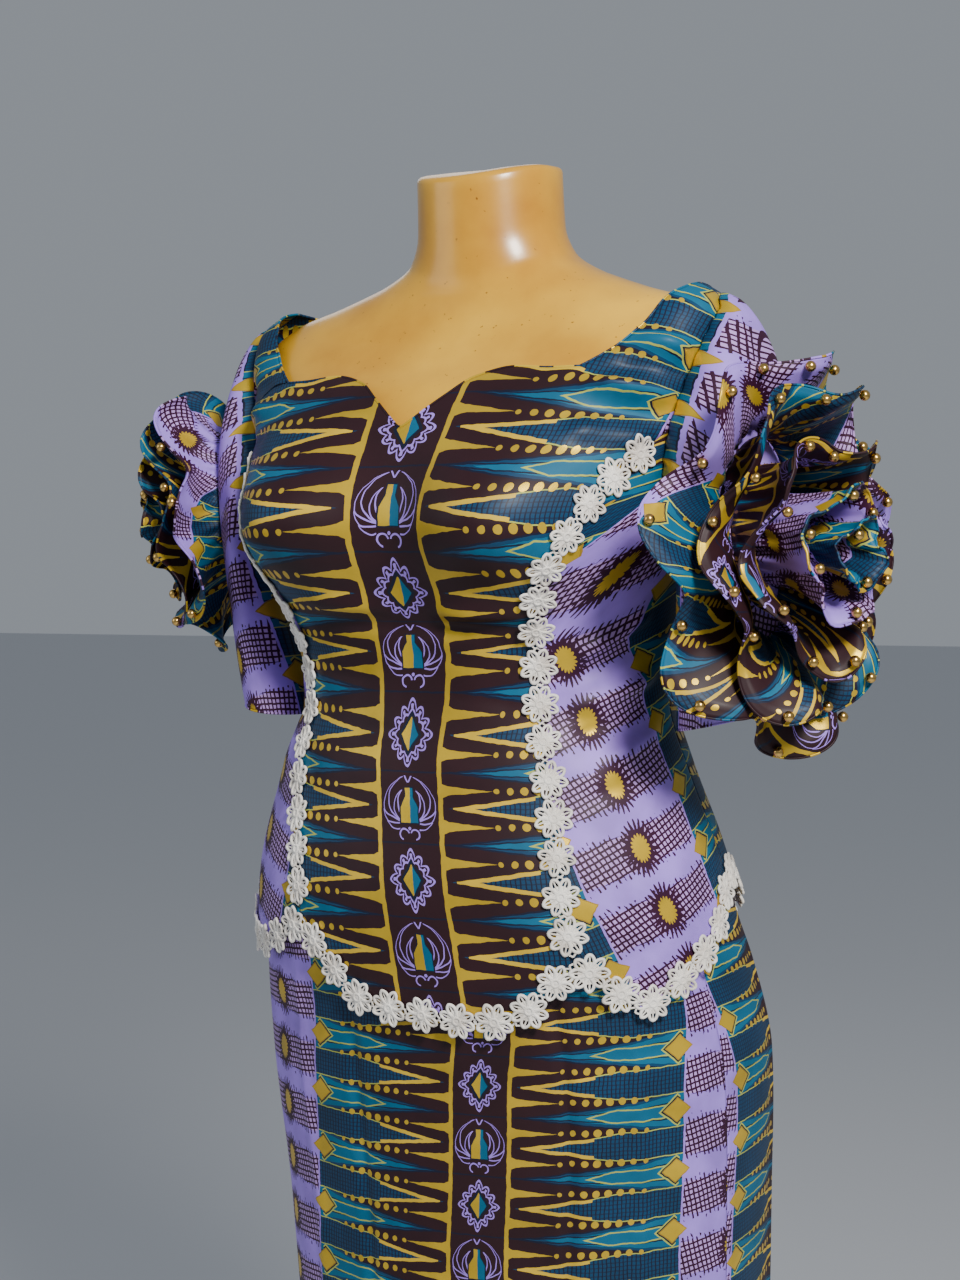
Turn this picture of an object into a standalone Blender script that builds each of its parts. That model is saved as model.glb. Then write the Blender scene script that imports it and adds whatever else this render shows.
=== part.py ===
# Ankara maxi dress on a limbless dress form, in metres, Z up.
# The wearer faces -Y and the wearer's left is +X. The origin is on the floor at the axis of the stand.
import math
import bpy
import bmesh
import numpy as np

for old in list(bpy.data.objects):
    bpy.data.objects.remove(old, do_unlink=True)

CLOTH = 0.0014          # wall of every cloth piece
SEAM = 0.0004           # gap left between neighbouring pieces
FORM_IN = 0.0050        # form skin below the cloth, upper body
FORM_IN_LOW = 0.0110    # form skin below the cloth, waist and hips
LACE = 0.0018           # thickness of the lace trim
LACE_OUT = 0.0021       # underside of the princess lace above the middle of the cloth
LACE_OUT_HEM = 0.0013   # the same for the lace round the bodice hem
DAISY = 0.0150          # radius of one lace daisy
ROWS_BODICE = 20        # quads from hem to top in every bodice panel
HEM_FLARE = 0.0060      # how far the bodice hem stands off the figure
SKIRT_TOP = 1.086       # hidden top of the skirt
SKIRT_HEM = 0.060
BASE_R = 0.190
BASE_T = 0.012
POLE_R = 0.016

# Outline of the dressed figure.
# columns: height at the side, at the front, at the back, half width, middle in y, depth to the
# front, depth to the back, squareness
FIGURE = np.array([
    (0.060, 0.060, 0.060, 0.187, 0.026, 0.154, 0.163, 2.00),
    (0.300, 0.300, 0.300, 0.187, 0.026, 0.154, 0.163, 2.05),
    (0.560, 0.560, 0.560, 0.189, 0.026, 0.154, 0.163, 2.10),
    (0.700, 0.700, 0.700, 0.194, 0.026, 0.154, 0.165, 2.15),
    (0.820, 0.820, 0.820, 0.200, 0.021, 0.155, 0.165, 2.20),
    (0.900, 0.900, 0.900, 0.193, 0.005, 0.147, 0.155, 2.20),
    (0.985, 0.985, 0.985, 0.182, -0.012, 0.131, 0.141, 2.15),
    (1.050, 1.050, 1.050, 0.166, -0.014, 0.117, 0.122, 2.10),
    (1.100, 1.100, 1.100, 0.151, -0.006, 0.110, 0.109, 2.10),
    (1.155, 1.155, 1.155, 0.158, 0.000, 0.117, 0.106, 2.10),
    (1.240, 1.240, 1.240, 0.178, 0.000, 0.126, 0.113, 2.20),
    (1.300, 1.300, 1.300, 0.188, 0.002, 0.114, 0.118, 2.30),
    (1.345, 1.335, 1.340, 0.195, 0.005, 0.097, 0.110, 2.30),
    (1.380, 1.357, 1.372, 0.193, 0.012, 0.080, 0.086, 2.20),
    (1.396, 1.375, 1.396, 0.172, 0.016, 0.068, 0.075, 2.10),
    (1.406, 1.390, 1.412, 0.132, 0.020, 0.060, 0.068, 2.05),
    (1.418, 1.404, 1.427, 0.092, 0.024, 0.057, 0.062, 2.00),
    (1.434, 1.420, 1.443, 0.066, 0.025, 0.055, 0.058, 2.00),
    (1.455, 1.445, 1.460, 0.0575, 0.025, 0.055, 0.056, 2.00),
    (1.503, 1.495, 1.511, 0.0560, 0.025, 0.055, 0.056, 2.00),
])

# Princess seams, columns: height, angle of the wearer's left seam, angle of the right seam
PRINCESS = np.array([
    (0.880, 40.0, -25.0),
    (0.937, 40.0, -26.0),
    (0.971, 39.5, -27.5),
    (1.000, 39.5, -31.0),
    (1.036, 40.0, -37.0),
    (1.073, 39.5, -42.0),
    (1.108, 38.5, -44.0),
    (1.151, 37.5, -45.0),
    (1.173, 39.0, -45.5),
    (1.201, 44.0, -48.0),
    (1.229, 51.0, -52.0),
    (1.255, 56.0, -57.0),
    (1.273, 61.5, -62.0),
    (1.286, 67.0, -67.0),
    (1.298, 73.0, -73.0),
])

# Hem of the bodice overlay, columns: angle, height
HEM = np.array([
    (-180.0, 0.900),
    (-160.0, 0.904),
    (-135.0, 0.926),
    (-116.0, 0.958),
    (-100.0, 0.970),
    (-82.0, 0.956),
    (-64.0, 0.930),
    (-49.0, 0.915),
    (-36.0, 0.926),
    (-26.0, 0.940),
    (-17.0, 0.920),
    (-8.0, 0.892),
    (4.0, 0.885),
    (16.0, 0.882),
    (25.0, 0.885),
    (33.0, 0.905),
    (40.0, 0.921),
    (47.0, 0.912),
    (55.0, 0.890),
    (64.0, 0.900),
    (76.0, 0.917),
    (88.0, 0.940),
    (100.0, 0.968),
    (116.0, 0.958),
    (135.0, 0.926),
    (160.0, 0.904),
    (180.0, 0.900),
])

# Front neckline of one half, columns: share of the half width, angle, height
NECK_FRONT = np.array([
    (0.00, 0.0, 1.306),
    (0.12, 6.5, 1.333),
    (0.24, 12.0, 1.352),
    (0.38, 19.5, 1.360),
    (0.55, 29.5, 1.354),
    (0.72, 42.0, 1.350),
    (1.00, 73.0, 1.298),
])

# Top of one back half, columns: share from the side to the middle, angle, height
NECK_BACK = np.array([
    (0.00, 90.0, 1.2340),
    (0.13, 101.0, 1.2500),
    (0.28, 107.0, 1.2980),
    (0.56, 138.0, 1.3530),
    (0.78, 159.0, 1.3500),
    (1.00, 180.0, 1.3480),
])

# Shoulder strap edges, columns: share from chest to shoulder, neck edge angle and height,
# armhole edge angle and height
STRAP = np.array([
    (0.00, 42.0, 1.3500, 73.0, 1.2980),
    (0.25, 52.0, 1.3755, 74.3, 1.3303),
    (0.50, 64.0, 1.3885, 78.0, 1.3575),
    (0.75, 77.0, 1.3925, 83.5, 1.3756),
    (1.00, 89.9, 1.3945, 89.9, 1.3820),
])


def pchip(x, xs, ys):
    """Smooth curve through the table's points that never overshoots them."""
    x = np.clip(np.asarray(x, float), xs[0], xs[-1])
    h = np.diff(xs)
    d = np.diff(ys) / h
    m = np.zeros(len(xs))
    for i in range(1, len(xs) - 1):
        if d[i - 1] * d[i] > 0:
            w1 = 2 * h[i] + h[i - 1]
            w2 = h[i] + 2 * h[i - 1]
            m[i] = (w1 + w2) / (w1 / d[i - 1] + w2 / d[i])
    m[0] = d[0]
    m[-1] = d[-1]
    i = np.clip(np.searchsorted(xs, x) - 1, 0, len(h) - 1)
    t = (x - xs[i]) / h[i]
    return ((2 * t**3 - 3 * t**2 + 1) * ys[i] + (t**3 - 2 * t**2 + t) * h[i] * m[i]
            + (3 * t**2 - 2 * t**3) * ys[i + 1] + (t**3 - t**2) * h[i] * m[i + 1])


def figure(ang, h, bust=0.056):
    """Point of the dressed figure. ang is in degrees, 0 at the front and 90 at the wearer's left."""
    ang = np.asarray(ang, float) + 0 * np.asarray(h, float)
    h = np.asarray(h, float) + 0 * ang
    zf, zb, a, cy, f, b, n = [pchip(h, FIGURE[:, 0], FIGURE[:, k]) for k in range(1, 8)]
    s = np.sin(np.radians(ang))
    c = np.cos(np.radians(ang))
    x = a * np.sign(s) * np.abs(s) ** (2 / n)
    y = cy - np.where(c > 0, f, b) * np.sign(c) * np.abs(c) ** (2 / n)
    z = h * s**2 + np.where(c > 0, zf, zb) * c**2
    for x0 in (-0.096, 0.096):
        spread = np.where(z > 1.236, 0.062, 0.052)
        bump = bust * np.exp(-((x - x0) / 0.070)**2 - ((z - 1.236) / spread)**2)
        y = y - np.where(c > 0, bump, 0)
    return np.stack([x, y, z], -1)


def skin(ang, h, out=0.0, bust=0.056):
    """Point of the figure moved out along its normal, with that normal."""
    da = 0.05
    dh = 0.0005
    across = figure(ang + da, h, bust) - figure(ang - da, h, bust)
    n = np.cross(across, figure(ang, h + dh, bust) - figure(ang, h - dh, bust))
    n = n / np.linalg.norm(n, axis=-1, keepdims=True)
    return figure(ang, h, bust) + n * np.asarray(out)[..., None], n


def flare(h):
    """Stand-off of the loose bodice below the waist."""
    t = np.clip((1.06 - np.asarray(h, float)) / 0.14, 0, 1)
    return HEM_FLARE * t * t * (3 - 2 * t)


def lift(ang, h):
    """Stand-off of the strap where it crosses the top of the shoulder."""
    def ease(t):
        t = np.clip(t, 0, 1)
        return t * t * (3 - 2 * t)

    side = np.abs((np.asarray(ang, float) + 180) % 360 - 180)
    return 0.009 * ease((side - 46) / 24) * ease((134 - side) / 24) * ease((np.asarray(h) - 1.32) / 0.06)


def drape(ang, h):
    """Stand-off of the bodice cloth from the figure."""
    return flare(h) + lift(ang, h)


def material(name, colour, rough, metal=0.0):
    m = bpy.data.materials.new(name)
    m.use_nodes = True
    b = m.node_tree.nodes["Principled BSDF"]
    b.inputs["Base Color"].default_value = (*colour, 1)
    b.inputs["Roughness"].default_value = rough
    b.inputs["Metallic"].default_value = metal
    return m


PLUM = (0.040, 0.016, 0.020)
TEAL = (0.015, 0.150, 0.210)
LILAC = (0.350, 0.240, 0.620)
IVORY = (0.720, 0.680, 0.620)
AMBER = (0.600, 0.320, 0.090)
STEEL = (0.300, 0.300, 0.310)


def node(name, verts, faces, colour, rough=0.45, metal=0.0, smooth=True):
    me = bpy.data.meshes.new(name)
    me.from_pydata([tuple(float(c) for c in v) for v in verts], [], [tuple(f) for f in faces])
    me.validate()
    bm = bmesh.new()
    bm.from_mesh(me)
    bmesh.ops.recalc_face_normals(bm, faces=bm.faces)
    bm.to_mesh(me)
    bm.free()
    me.materials.append(material(name + "_mat", colour, rough, metal))
    for p in me.polygons:
        p.use_smooth = smooth
    ob = bpy.data.objects.new(name, me)
    bpy.context.scene.collection.objects.link(ob)
    return ob


def walled(name, mid, normal, quads, wall, colour, rough=0.45):
    """Gives a sheet of quads a wall: outer skin, inner skin and a rim along every free edge."""
    mid = np.asarray(mid)
    n = len(mid)
    verts = np.concatenate([mid + normal * wall / 2, mid - normal * wall / 2])
    faces = [tuple(q) for q in quads]
    faces += [tuple(n + i for i in reversed(q)) for q in quads]
    edges = {}
    for q in quads:
        for a, b in zip(q, list(q[1:]) + [q[0]]):
            edges[(a, b)] = edges.get((a, b), 0) + 1
    for a, b in edges:
        if (b, a) not in edges:
            faces.append((b, a, n + a, n + b))
    return node(name, verts, faces, colour, rough)


def sheet_normals(mid, quads):
    """Vertex normals of a sheet, each the mean of its quads' normals."""
    total = np.zeros_like(mid)
    for q in quads:
        a, b, c, d = [mid[i] for i in q]
        v = np.cross(c - a, d - b)
        for i in q:
            total[i] += v
    return total / np.linalg.norm(total, axis=1, keepdims=True)


def grid_quads(nu, nv, wrap=False, first=0):
    """Quads of a grid stored row by row, nu columns of quads and nv rows."""
    cols = nu if wrap else nu + 1
    out = []
    for j in range(nv):
        for i in range(nu):
            k = (i + 1) % cols
            out.append((first + j * cols + i, first + j * cols + k,
                        first + (j + 1) * cols + k, first + (j + 1) * cols + i))
    return out


def princess(h, side):
    col = 1 if side > 0 else 2
    return pchip(h, PRINCESS[:, 0], PRINCESS[:, col])


def side_seam(h):
    """Angle of the side seam: under the arm at 90 degrees and a little behind it at the hem."""
    return 90.0 + 10.0 * np.clip((1.234 - np.asarray(h, float)) / 0.27, 0, 1)


def hem(ang):
    return pchip(ang, HEM[:, 0], HEM[:, 1])


def meet(edge, start):
    """Angle and height where a seam comes down on the hem."""
    h = start
    for _ in range(30):
        h = float(hem(edge(h)))
    return float(edge(h)), h


def panel(lo, hi, top, nu, bend):
    """Angles and heights of one bodice panel, row by row from the hem up.

    lo and hi give the angle of its two side edges at a height, top gives angle and height of the
    upper edge for a share of the width."""
    a0, h0 = meet(lo, 0.93)
    a1, h1 = meet(hi, 0.93)
    ang = np.zeros((ROWS_BODICE + 1, nu + 1))
    hgt = np.zeros_like(ang)
    for i in range(nu + 1):
        u = i / nu
        ta, th = top(u)
        low = float(hem(a0 + (a1 - a0) * u))
        if i == 0:
            low = h0
        if i == nu:
            low = h1
        left = float(lo(th))
        right = float(hi(th))
        share = (ta - left) / (right - left)
        for j in range(ROWS_BODICE + 1):
            v = j / ROWS_BODICE
            h = low + (th - low) * v
            f = u + (share - u) * v ** bend
            ang[j, i] = lo(h) + (hi(h) - lo(h)) * f
            hgt[j, i] = h
    return ang, hgt


def trim_edges(ang, hgt, lo_gap, hi_gap):
    """Moves the two side edges in by half a seam."""
    width = 0.11 * math.pi / 180
    ang[:, 0] += lo_gap / width
    ang[:, -1] -= hi_gap / width


def with_strap(ang, hgt, join, neck, arm, nu_strap):
    """Adds the shoulder strap to a panel: join lists the top row's columns it grows from."""
    rows, cols = ang.shape
    pa = list(ang.ravel())
    ph = list(hgt.ravel())
    quads = grid_quads(cols - 1, rows - 1)
    prev = [(rows - 1) * cols + c for c in join]
    for k in range(1, nu_strap + 1):
        t = k / nu_strap
        row = []
        for m in range(len(join)):
            w = m / (len(join) - 1)
            na, nh = neck(t)
            aa, ah = arm(t)
            row.append(len(pa))
            pa.append(na + (aa - na) * w)
            ph.append(nh + (ah - nh) * w)
        for m in range(len(join) - 1):
            quads.append((prev[m], prev[m + 1], row[m + 1], row[m]))
        prev = row
    return np.array(pa), np.array(ph), quads


def orient(mid, normal, quads):
    """Turns the quads so that they face the way the normals point."""
    out = []
    for q in quads:
        a, b, c, d = [mid[i] for i in q]
        if np.dot(np.cross(c - a, d - b), normal[q[0]]) < 0:
            q = tuple(reversed(q))
        out.append(q)
    return out


# Form: one smooth limbless body from the neck cap down to the upper thighs.
def form():
    levels = [0.660, 0.700, 0.760, 0.820, 0.900, 0.985, 1.040, 1.100, 1.155, 1.195, 1.236, 1.270,
              1.300, 1.330, 1.352, 1.368, 1.381, 1.392, 1.400, 1.408, 1.418, 1.432, 1.450, 1.473, 1.4955]
    front = [-90, -78, -66, -55, -46, -38, -30, -22, -14, -7, 0, 7, 14, 22, 30, 38, 46, 55, 66, 78, 90]
    ang = np.array(front + [104, 118, 133, 149, 165, 180, 195, 211, 227, 242, 256], float)
    around = len(ang)
    verts = []
    for h in levels:
        t = np.clip((1.165 - h) / 0.07, 0, 1)
        t = t * t * (3 - 2 * t)
        up = np.clip((1.414 - h) / 0.020, 0, 1)
        out = -(FORM_IN + (FORM_IN_LOW - FORM_IN) * t) * up
        p, _ = skin(ang, np.full(around, h), np.full(around, out), 0.052)
        verts += list(p)
    quads = grid_quads(around, len(levels) - 1, wrap=True)
    faces = [tuple(q) for q in quads]
    bottom = np.array(verts[:around])
    middle = bottom.mean(axis=0)
    for scale, drop in ((0.93, 0.012), (0.78, 0.0195)):
        first = len(verts)
        ring = middle + (bottom - middle) * scale
        ring[:, 2] -= drop
        verts += list(ring)
        lower = list(range(first, first + around))
        upper = list(range(around)) if scale > 0.9 else list(range(first - around, first))
        faces += [(upper[k], lower[k], lower[(k + 1) % around], upper[(k + 1) % around])
                  for k in range(around)]
    faces.append(tuple(reversed(range(len(verts) - around, len(verts)))))
    first_top = (len(levels) - 1) * around
    top = np.array(verts[first_top:first_top + around])
    crown = top.mean(axis=0)
    upper = list(range(first_top, first_top + around))
    for scale, rise in ((0.955, 0.0035), (0.86, 0.0052)):
        first = len(verts)
        ring = crown + (top - crown) * scale
        ring[:, 2] += rise
        verts += list(ring)
        lower = upper
        upper = list(range(first, first + around))
        faces += [(lower[k], lower[(k + 1) % around], upper[(k + 1) % around], upper[k])
                  for k in range(around)]
    faces.append(tuple(upper))
    return node("form_torso", verts, faces, AMBER, 0.16)


def turned(name, radius, low, high, bevel, colour, sides, metal, where=(0.0, 0.0)):
    """A round plate or post from one height to another, its top edge rounded."""
    bm = bmesh.new()
    bmesh.ops.create_cone(bm, cap_ends=True, segments=sides, radius1=radius, radius2=radius,
                          depth=high - low)
    bmesh.ops.translate(bm, verts=bm.verts, vec=(where[0], where[1], (low + high) / 2))
    if bevel > 0:
        rim = [e for e in bm.edges if all(v.co.z > high - 1e-5 for v in e.verts)]
        bmesh.ops.bevel(bm, geom=rim, offset=bevel, offset_type="OFFSET", segments=2, profile=0.5,
                        affect="EDGES", material=-1, clamp_overlap=True)
    me = bpy.data.meshes.new(name)
    bm.to_mesh(me)
    bm.free()
    me.materials.append(material(name + "_mat", colour, 0.3, metal))
    ob = bpy.data.objects.new(name, me)
    bpy.context.scene.collection.objects.link(ob)
    return ob


form()
turned("form_base", BASE_R, 0.0, BASE_T, 0.004, STEEL, 40, 1.0)
turned("form_pole", POLE_R, BASE_T + SEAM, 0.628 - SEAM, 0.0, STEEL, 24, 1.0)
turned("form_plate", 0.055, 0.628, 0.6405 - SEAM, 0.002, STEEL, 28, 1.0)


# Bodice: the front middle panel runs from the overlay hem over the bust to both shoulders.
def front_middle():
    nu = 12

    def top(u):
        w = 2 * u - 1
        a = float(pchip(abs(w), NECK_FRONT[:, 0], NECK_FRONT[:, 1]))
        h = float(pchip(abs(w), NECK_FRONT[:, 0], NECK_FRONT[:, 2]))
        return math.copysign(a, w), h

    ang, hgt = panel(lambda h: princess(h, -1), lambda h: princess(h, 1), top, nu, 3.0)
    trim_edges(ang, hgt, SEAM / 2, SEAM / 2)
    rows, cols = ang.shape
    pa, ph, quads = ang, hgt, None
    strap = 5
    cut = {1: [cols - 3, cols - 2, cols - 1], -1: [2, 1, 0]}
    a, h, quads = with_strap(
        pa, ph, cut[1],
        lambda t: (float(pchip(t, STRAP[:, 0], STRAP[:, 1])), float(pchip(t, STRAP[:, 0], STRAP[:, 2]))),
        lambda t: (float(pchip(t, STRAP[:, 0], STRAP[:, 3])), float(pchip(t, STRAP[:, 0], STRAP[:, 4]))),
        strap)
    extra = len(a) - rows * cols
    a = list(a)
    h = list(h)
    first = len(a)
    for k in range(extra):
        a.append(-a[rows * cols + k])
        h.append(h[rows * cols + k])
    prev = [(rows - 1) * cols + c for c in cut[-1]]
    for k in range(strap):
        row = [first + 3 * k, first + 3 * k + 1, first + 3 * k + 2]
        for m in range(2):
            quads.append((prev[m], prev[m + 1], row[m + 1], row[m]))
        prev = row
    a = np.array(a)
    h = np.array(h)
    mid, nrm = skin(a, h, drape(a, h))
    quads = orient(mid, nrm, quads)
    walled("bodice_front_centre", mid, nrm, quads, CLOTH, PLUM)


front_middle()


# Side front panels, from each princess seam to the side seam, with the armhole above.
def front_side(side):
    def top(u):
        t = math.radians(90 + 90 * u)
        return side * (90 - 17 * math.sin(t)), 1.298 + 0.064 * math.cos(t)

    ang, hgt = panel(lambda h: princess(h, side), lambda h: side * side_seam(h), top, 5, 3.0)
    trim_edges(ang, hgt, side * SEAM / 2, side * SEAM / 2)
    mid, nrm = skin(ang.ravel(), hgt.ravel(), flare(hgt.ravel()))
    quads = orient(mid, nrm, grid_quads(5, ROWS_BODICE))
    walled("bodice_front_side_" + ("left" if side > 0 else "right"), mid, nrm, quads, CLOTH, LILAC)


front_side(1)
front_side(-1)


# Back panels meet in one seam down the middle of the back and reach the shoulders.
def back(side):
    def top(u):
        a = float(pchip(u, NECK_BACK[:, 0], NECK_BACK[:, 1]))
        return side * a, float(pchip(u, NECK_BACK[:, 0], NECK_BACK[:, 2]))

    nu = 7
    shares = [0.0, 0.13, 0.28, 0.42, 0.56, 0.70, 0.85, 1.0]
    ang, hgt = panel(lambda h: side * side_seam(h), lambda h: side * 180.0 + 0 * np.asarray(h),
                     lambda u: top(shares[int(round(u * nu))]), nu, 3.0)
    trim_edges(ang, hgt, side * SEAM / 2, side * SEAM / 2)
    a, h, quads = with_strap(
        ang, hgt, [4, 3, 2],
        lambda t: (side * (180 - float(pchip(t, STRAP[:, 0], STRAP[:, 1]))),
                   float(pchip(t, STRAP[:, 0], STRAP[:, 2]))),
        lambda t: (side * (180 - float(pchip(t, STRAP[:, 0], STRAP[:, 3]))),
                   float(pchip(t, STRAP[:, 0], STRAP[:, 4]))),
        4)
    mid, nrm = skin(a, h, drape(a, h))
    quads = orient(mid, nrm, quads)
    walled("bodice_back_" + ("left" if side > 0 else "right"), mid, nrm, quads, CLOTH, TEAL)


back(1)
back(-1)


# Skirt: a straight front and a straight back under the overlay, joined at the sides.
def skirt_point(ang, h):
    h = np.asarray(h, float)
    t = np.clip((h - 0.86) / 0.20, 0, 1)
    out = -0.0037 * t * t * (3 - 2 * t)
    low = np.clip((0.80 - h) / 0.50, 0, 1)
    fold = 0.0045 * low * np.cos(np.radians(ang) * 9 + 0.6)
    return skin(ang, h, out + fold)


def skirt(name, lo, hi, colour):
    cols = 16
    levels = np.array([SKIRT_HEM, 0.16, 0.28, 0.41, 0.55, 0.68, 0.78, 0.86, 0.92, 0.985, 1.04, SKIRT_TOP])
    a = np.linspace(lo, hi, cols + 1)
    ang, hgt = np.meshgrid(a, levels)
    width = 0.19 * math.pi / 180
    ang[:, 0] += SEAM / 2 / width
    ang[:, -1] -= SEAM / 2 / width
    mid, nrm = skirt_point(ang.ravel(), hgt.ravel())
    quads = orient(mid, nrm, grid_quads(cols, len(levels) - 1))
    walled(name, mid, nrm, quads, CLOTH, colour)


skirt("skirt_front", -79.0, 79.0, PLUM)
skirt("skirt_back", 79.0, 281.0, TEAL)


# Sleeves: a loose open tube from the armhole out over the shoulder and down to its hem.
# columns: middle of the hem in x, half width of the hem, half depth of the hem
CUFF = {1: (0.206, 0.033, 0.076), -1: (0.186, 0.027, 0.064)}


def sleeve_point(t, s, side):
    """t goes round from the top (0) by the front (90) to the underarm (180), s from armhole to hem."""
    r = np.radians(t)
    c = np.cos(r)
    f = np.sin(r)
    cx, half, deep = CUFF[side]
    ang = 90 - 17.8 * f
    h = 1.298 + np.where(c > 0, 0.0870, 0.0665) * c
    start, _ = skin(ang, h, 0.0021 + lift(ang, h))
    lean = np.stack([0.030 + 0.006 * c, -0.030 * f, -0.012 + 0.016 * c], -1)
    end = np.stack([cx + half * c, 0.006 - deep * f, 1.088 + 0.006 * c], -1)
    pull = np.stack([0.010 + 0.012 * c, -0.006 * f, 0.090 + 0.060 * c], -1)
    s = s[..., None]
    p = ((1 - s)**3 * start + 3 * (1 - s)**2 * s * (start + lean)
         + 3 * (1 - s) * s**2 * (end + pull) + s**3 * end)
    return p * np.array([side, 1, 1])


def sleeve(side):
    around = 20
    along = 8
    t = np.arange(around) * 360.0 / around
    s = np.linspace(0, 1, along + 1)
    tt, ss = np.meshgrid(t, s)
    mid = sleeve_point(tt.ravel(), ss.ravel(), side)
    quads = grid_quads(around, along, wrap=True)
    nrm = sheet_normals(mid, quads)
    centre = np.array([0.205 * side, 0.0, 1.2])
    k = along // 2 * around
    if np.dot(nrm[k], mid[k] - centre) < 0:
        quads = [tuple(reversed(q)) for q in quads]
        nrm = -nrm
    walled("sleeve_" + ("left" if side > 0 else "right"), mid, nrm, quads, CLOTH, LILAC)


sleeve(1)
sleeve(-1)

# Roses: nested ruffles gathered on the outer face of each sleeve.
# columns: root half width, root half height, edge half width, edge half height, rise at the root,
# rise at the edge, waves, wave in radius, wave in rise, phase
RUFFLES = np.array([
    (0.043, 0.078, 0.106, 0.136, 0.004, 0.036, 7, 0.012, 0.014, 0.4),
    (0.040, 0.070, 0.082, 0.114, 0.005, 0.058, 6, 0.010, 0.012, 1.5),
    (0.029, 0.050, 0.064, 0.074, 0.006, 0.070, 5, 0.008, 0.010, 2.7),
    (0.017, 0.030, 0.038, 0.041, 0.006, 0.084, 4, 0.004, 0.006, 0.9),
    (0.007, 0.012, 0.018, 0.020, 0.006, 0.093, 3, 0.003, 0.004, 2.0),
])
# root of each ruffle above the middle of the sleeve's wall
ROOT_OUT = (0.0016, 0.0014, 0.0012, 0.0012, 0.0009)
# columns: segments around, segments from root to edge
RUFFLE_MESH = ((48, 2), (42, 2), (36, 2), (24, 2), (18, 2))
# columns: origin x, y, z, turn to the front in degrees, size, then the sleeve's rounded face under
# the rose: its height, its middle across and up, its curve across and up
ROSE = {1: (0.2365, -0.030, 1.219, 19.0, 1.00, 0.0090, 0.004, -0.030, 4.2, 0.60),
        -1: (0.2240, -0.020, 1.247, 16.0, 0.75, 0.0060, 0.008, 0.020, 4.3, 0.70)}


def rose_point(side, row, al, s):
    """al goes round the rose, s from the gathered root to the free edge."""
    ox, oy, oz, turn, size, dome, mid, mid_up, curve, curve_up = ROSE[side]
    rw, rh, ew, eh, w0, w1, waves, wr, ww, ph = row
    k = s ** 1.35
    wave = np.sin(waves * al + ph) + 0.35 * np.sin((waves + 2) * al + 2 * ph)
    q = s**1.6
    half_w = (rw + (ew - rw) * k + wr * q * wave) * size
    half_h = (rh + (eh - rh) * k + wr * q * wave) * size
    rise = (w0 + (w1 - w0) * s**0.8) * size + ww * q * np.cos(waves * al + ph) * size
    e1 = half_w * np.cos(al) - 0.14 * rw * size * (1 - s)
    e2 = half_h * np.sin(al)
    rise = rise + dome - 0.058 * (1 - np.exp(-curve / 0.058 * (e1 - mid)**2))
    rise = rise - curve_up * (e2 - mid_up)**2 + 0.020 * s * np.maximum(e2, 0) / 0.13
    e2 = e2 - 0.010 * s * size
    a = math.radians(turn)
    axis = np.array([math.cos(a), -math.sin(a), 0.0])
    fore = np.array([-math.sin(a), -math.cos(a), 0.0])
    up = np.array([0.0, 0.0, 1.0])
    return np.array([ox, oy, oz]) + e1[..., None] * fore + e2[..., None] * up + rise[..., None] * axis


def seat(side, root, clear):
    """Nearest places for a ruffle's gathered root just clear of the sleeve's outer face."""
    turn = math.radians(ROSE[side][3])
    flat = np.array([[-math.sin(turn), -math.cos(turn), 0.0], [0.0, 0.0, 1.0]])
    mirror = np.array([side, 1, 1])
    tt, ss = np.meshgrid(np.linspace(-115, 115, 116), np.linspace(0.02, 0.98, 97))
    tt = tt.ravel()
    ss = ss.ravel()
    face = sleeve_point(tt, ss, side) * mirror
    seen = face @ flat.T
    out = np.zeros_like(root)
    for i, want in enumerate(root @ flat.T):
        k = int(np.argmin(((seen - want)**2).sum(axis=1)))
        t = tt[k:k + 1]
        s = ss[k:k + 1]
        here = face[k]
        du = (sleeve_point(t + 0.5, s, side) * mirror)[0] - here
        dv = (sleeve_point(t, s + 0.005, side) * mirror)[0] - here
        n = np.cross(du, dv)
        n = n / np.linalg.norm(n)
        n = n if n[0] > 0 else -n
        step = np.linalg.lstsq(np.array([flat @ du, flat @ dv]).T, want - flat @ here, rcond=None)[0]
        step = np.clip(step, -2.0, 2.0)
        out[i] = here + du * step[0] + dv * step[1] + n * clear
    return out


def rose(side):
    for i, row in enumerate(RUFFLES):
        around, along = RUFFLE_MESH[i]
        al = np.arange(around) * 2 * math.pi / around
        s = np.linspace(0, 1, along + 1)
        aa, ss = np.meshgrid(al, s)
        mid = rose_point(side, row, aa.ravel(), ss.ravel())
        shift = seat(side, mid[:around], ROOT_OUT[i]) - mid[:around]
        mid = mid + np.tile(shift, (along + 1, 1)) * ((1 - ss.ravel())**2)[:, None]
        mid = mid * np.array([side, 1, 1])
        quads = grid_quads(around, along, wrap=True)
        nrm = sheet_normals(mid, quads)
        name = "rose_" + ("left" if side > 0 else "right") + "_ruffle_" + str(i + 1)
        walled(name, mid, nrm, quads, CLOTH, (PLUM, TEAL, LILAC, PLUM, TEAL)[i])


rose(1)
rose(-1)


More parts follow.
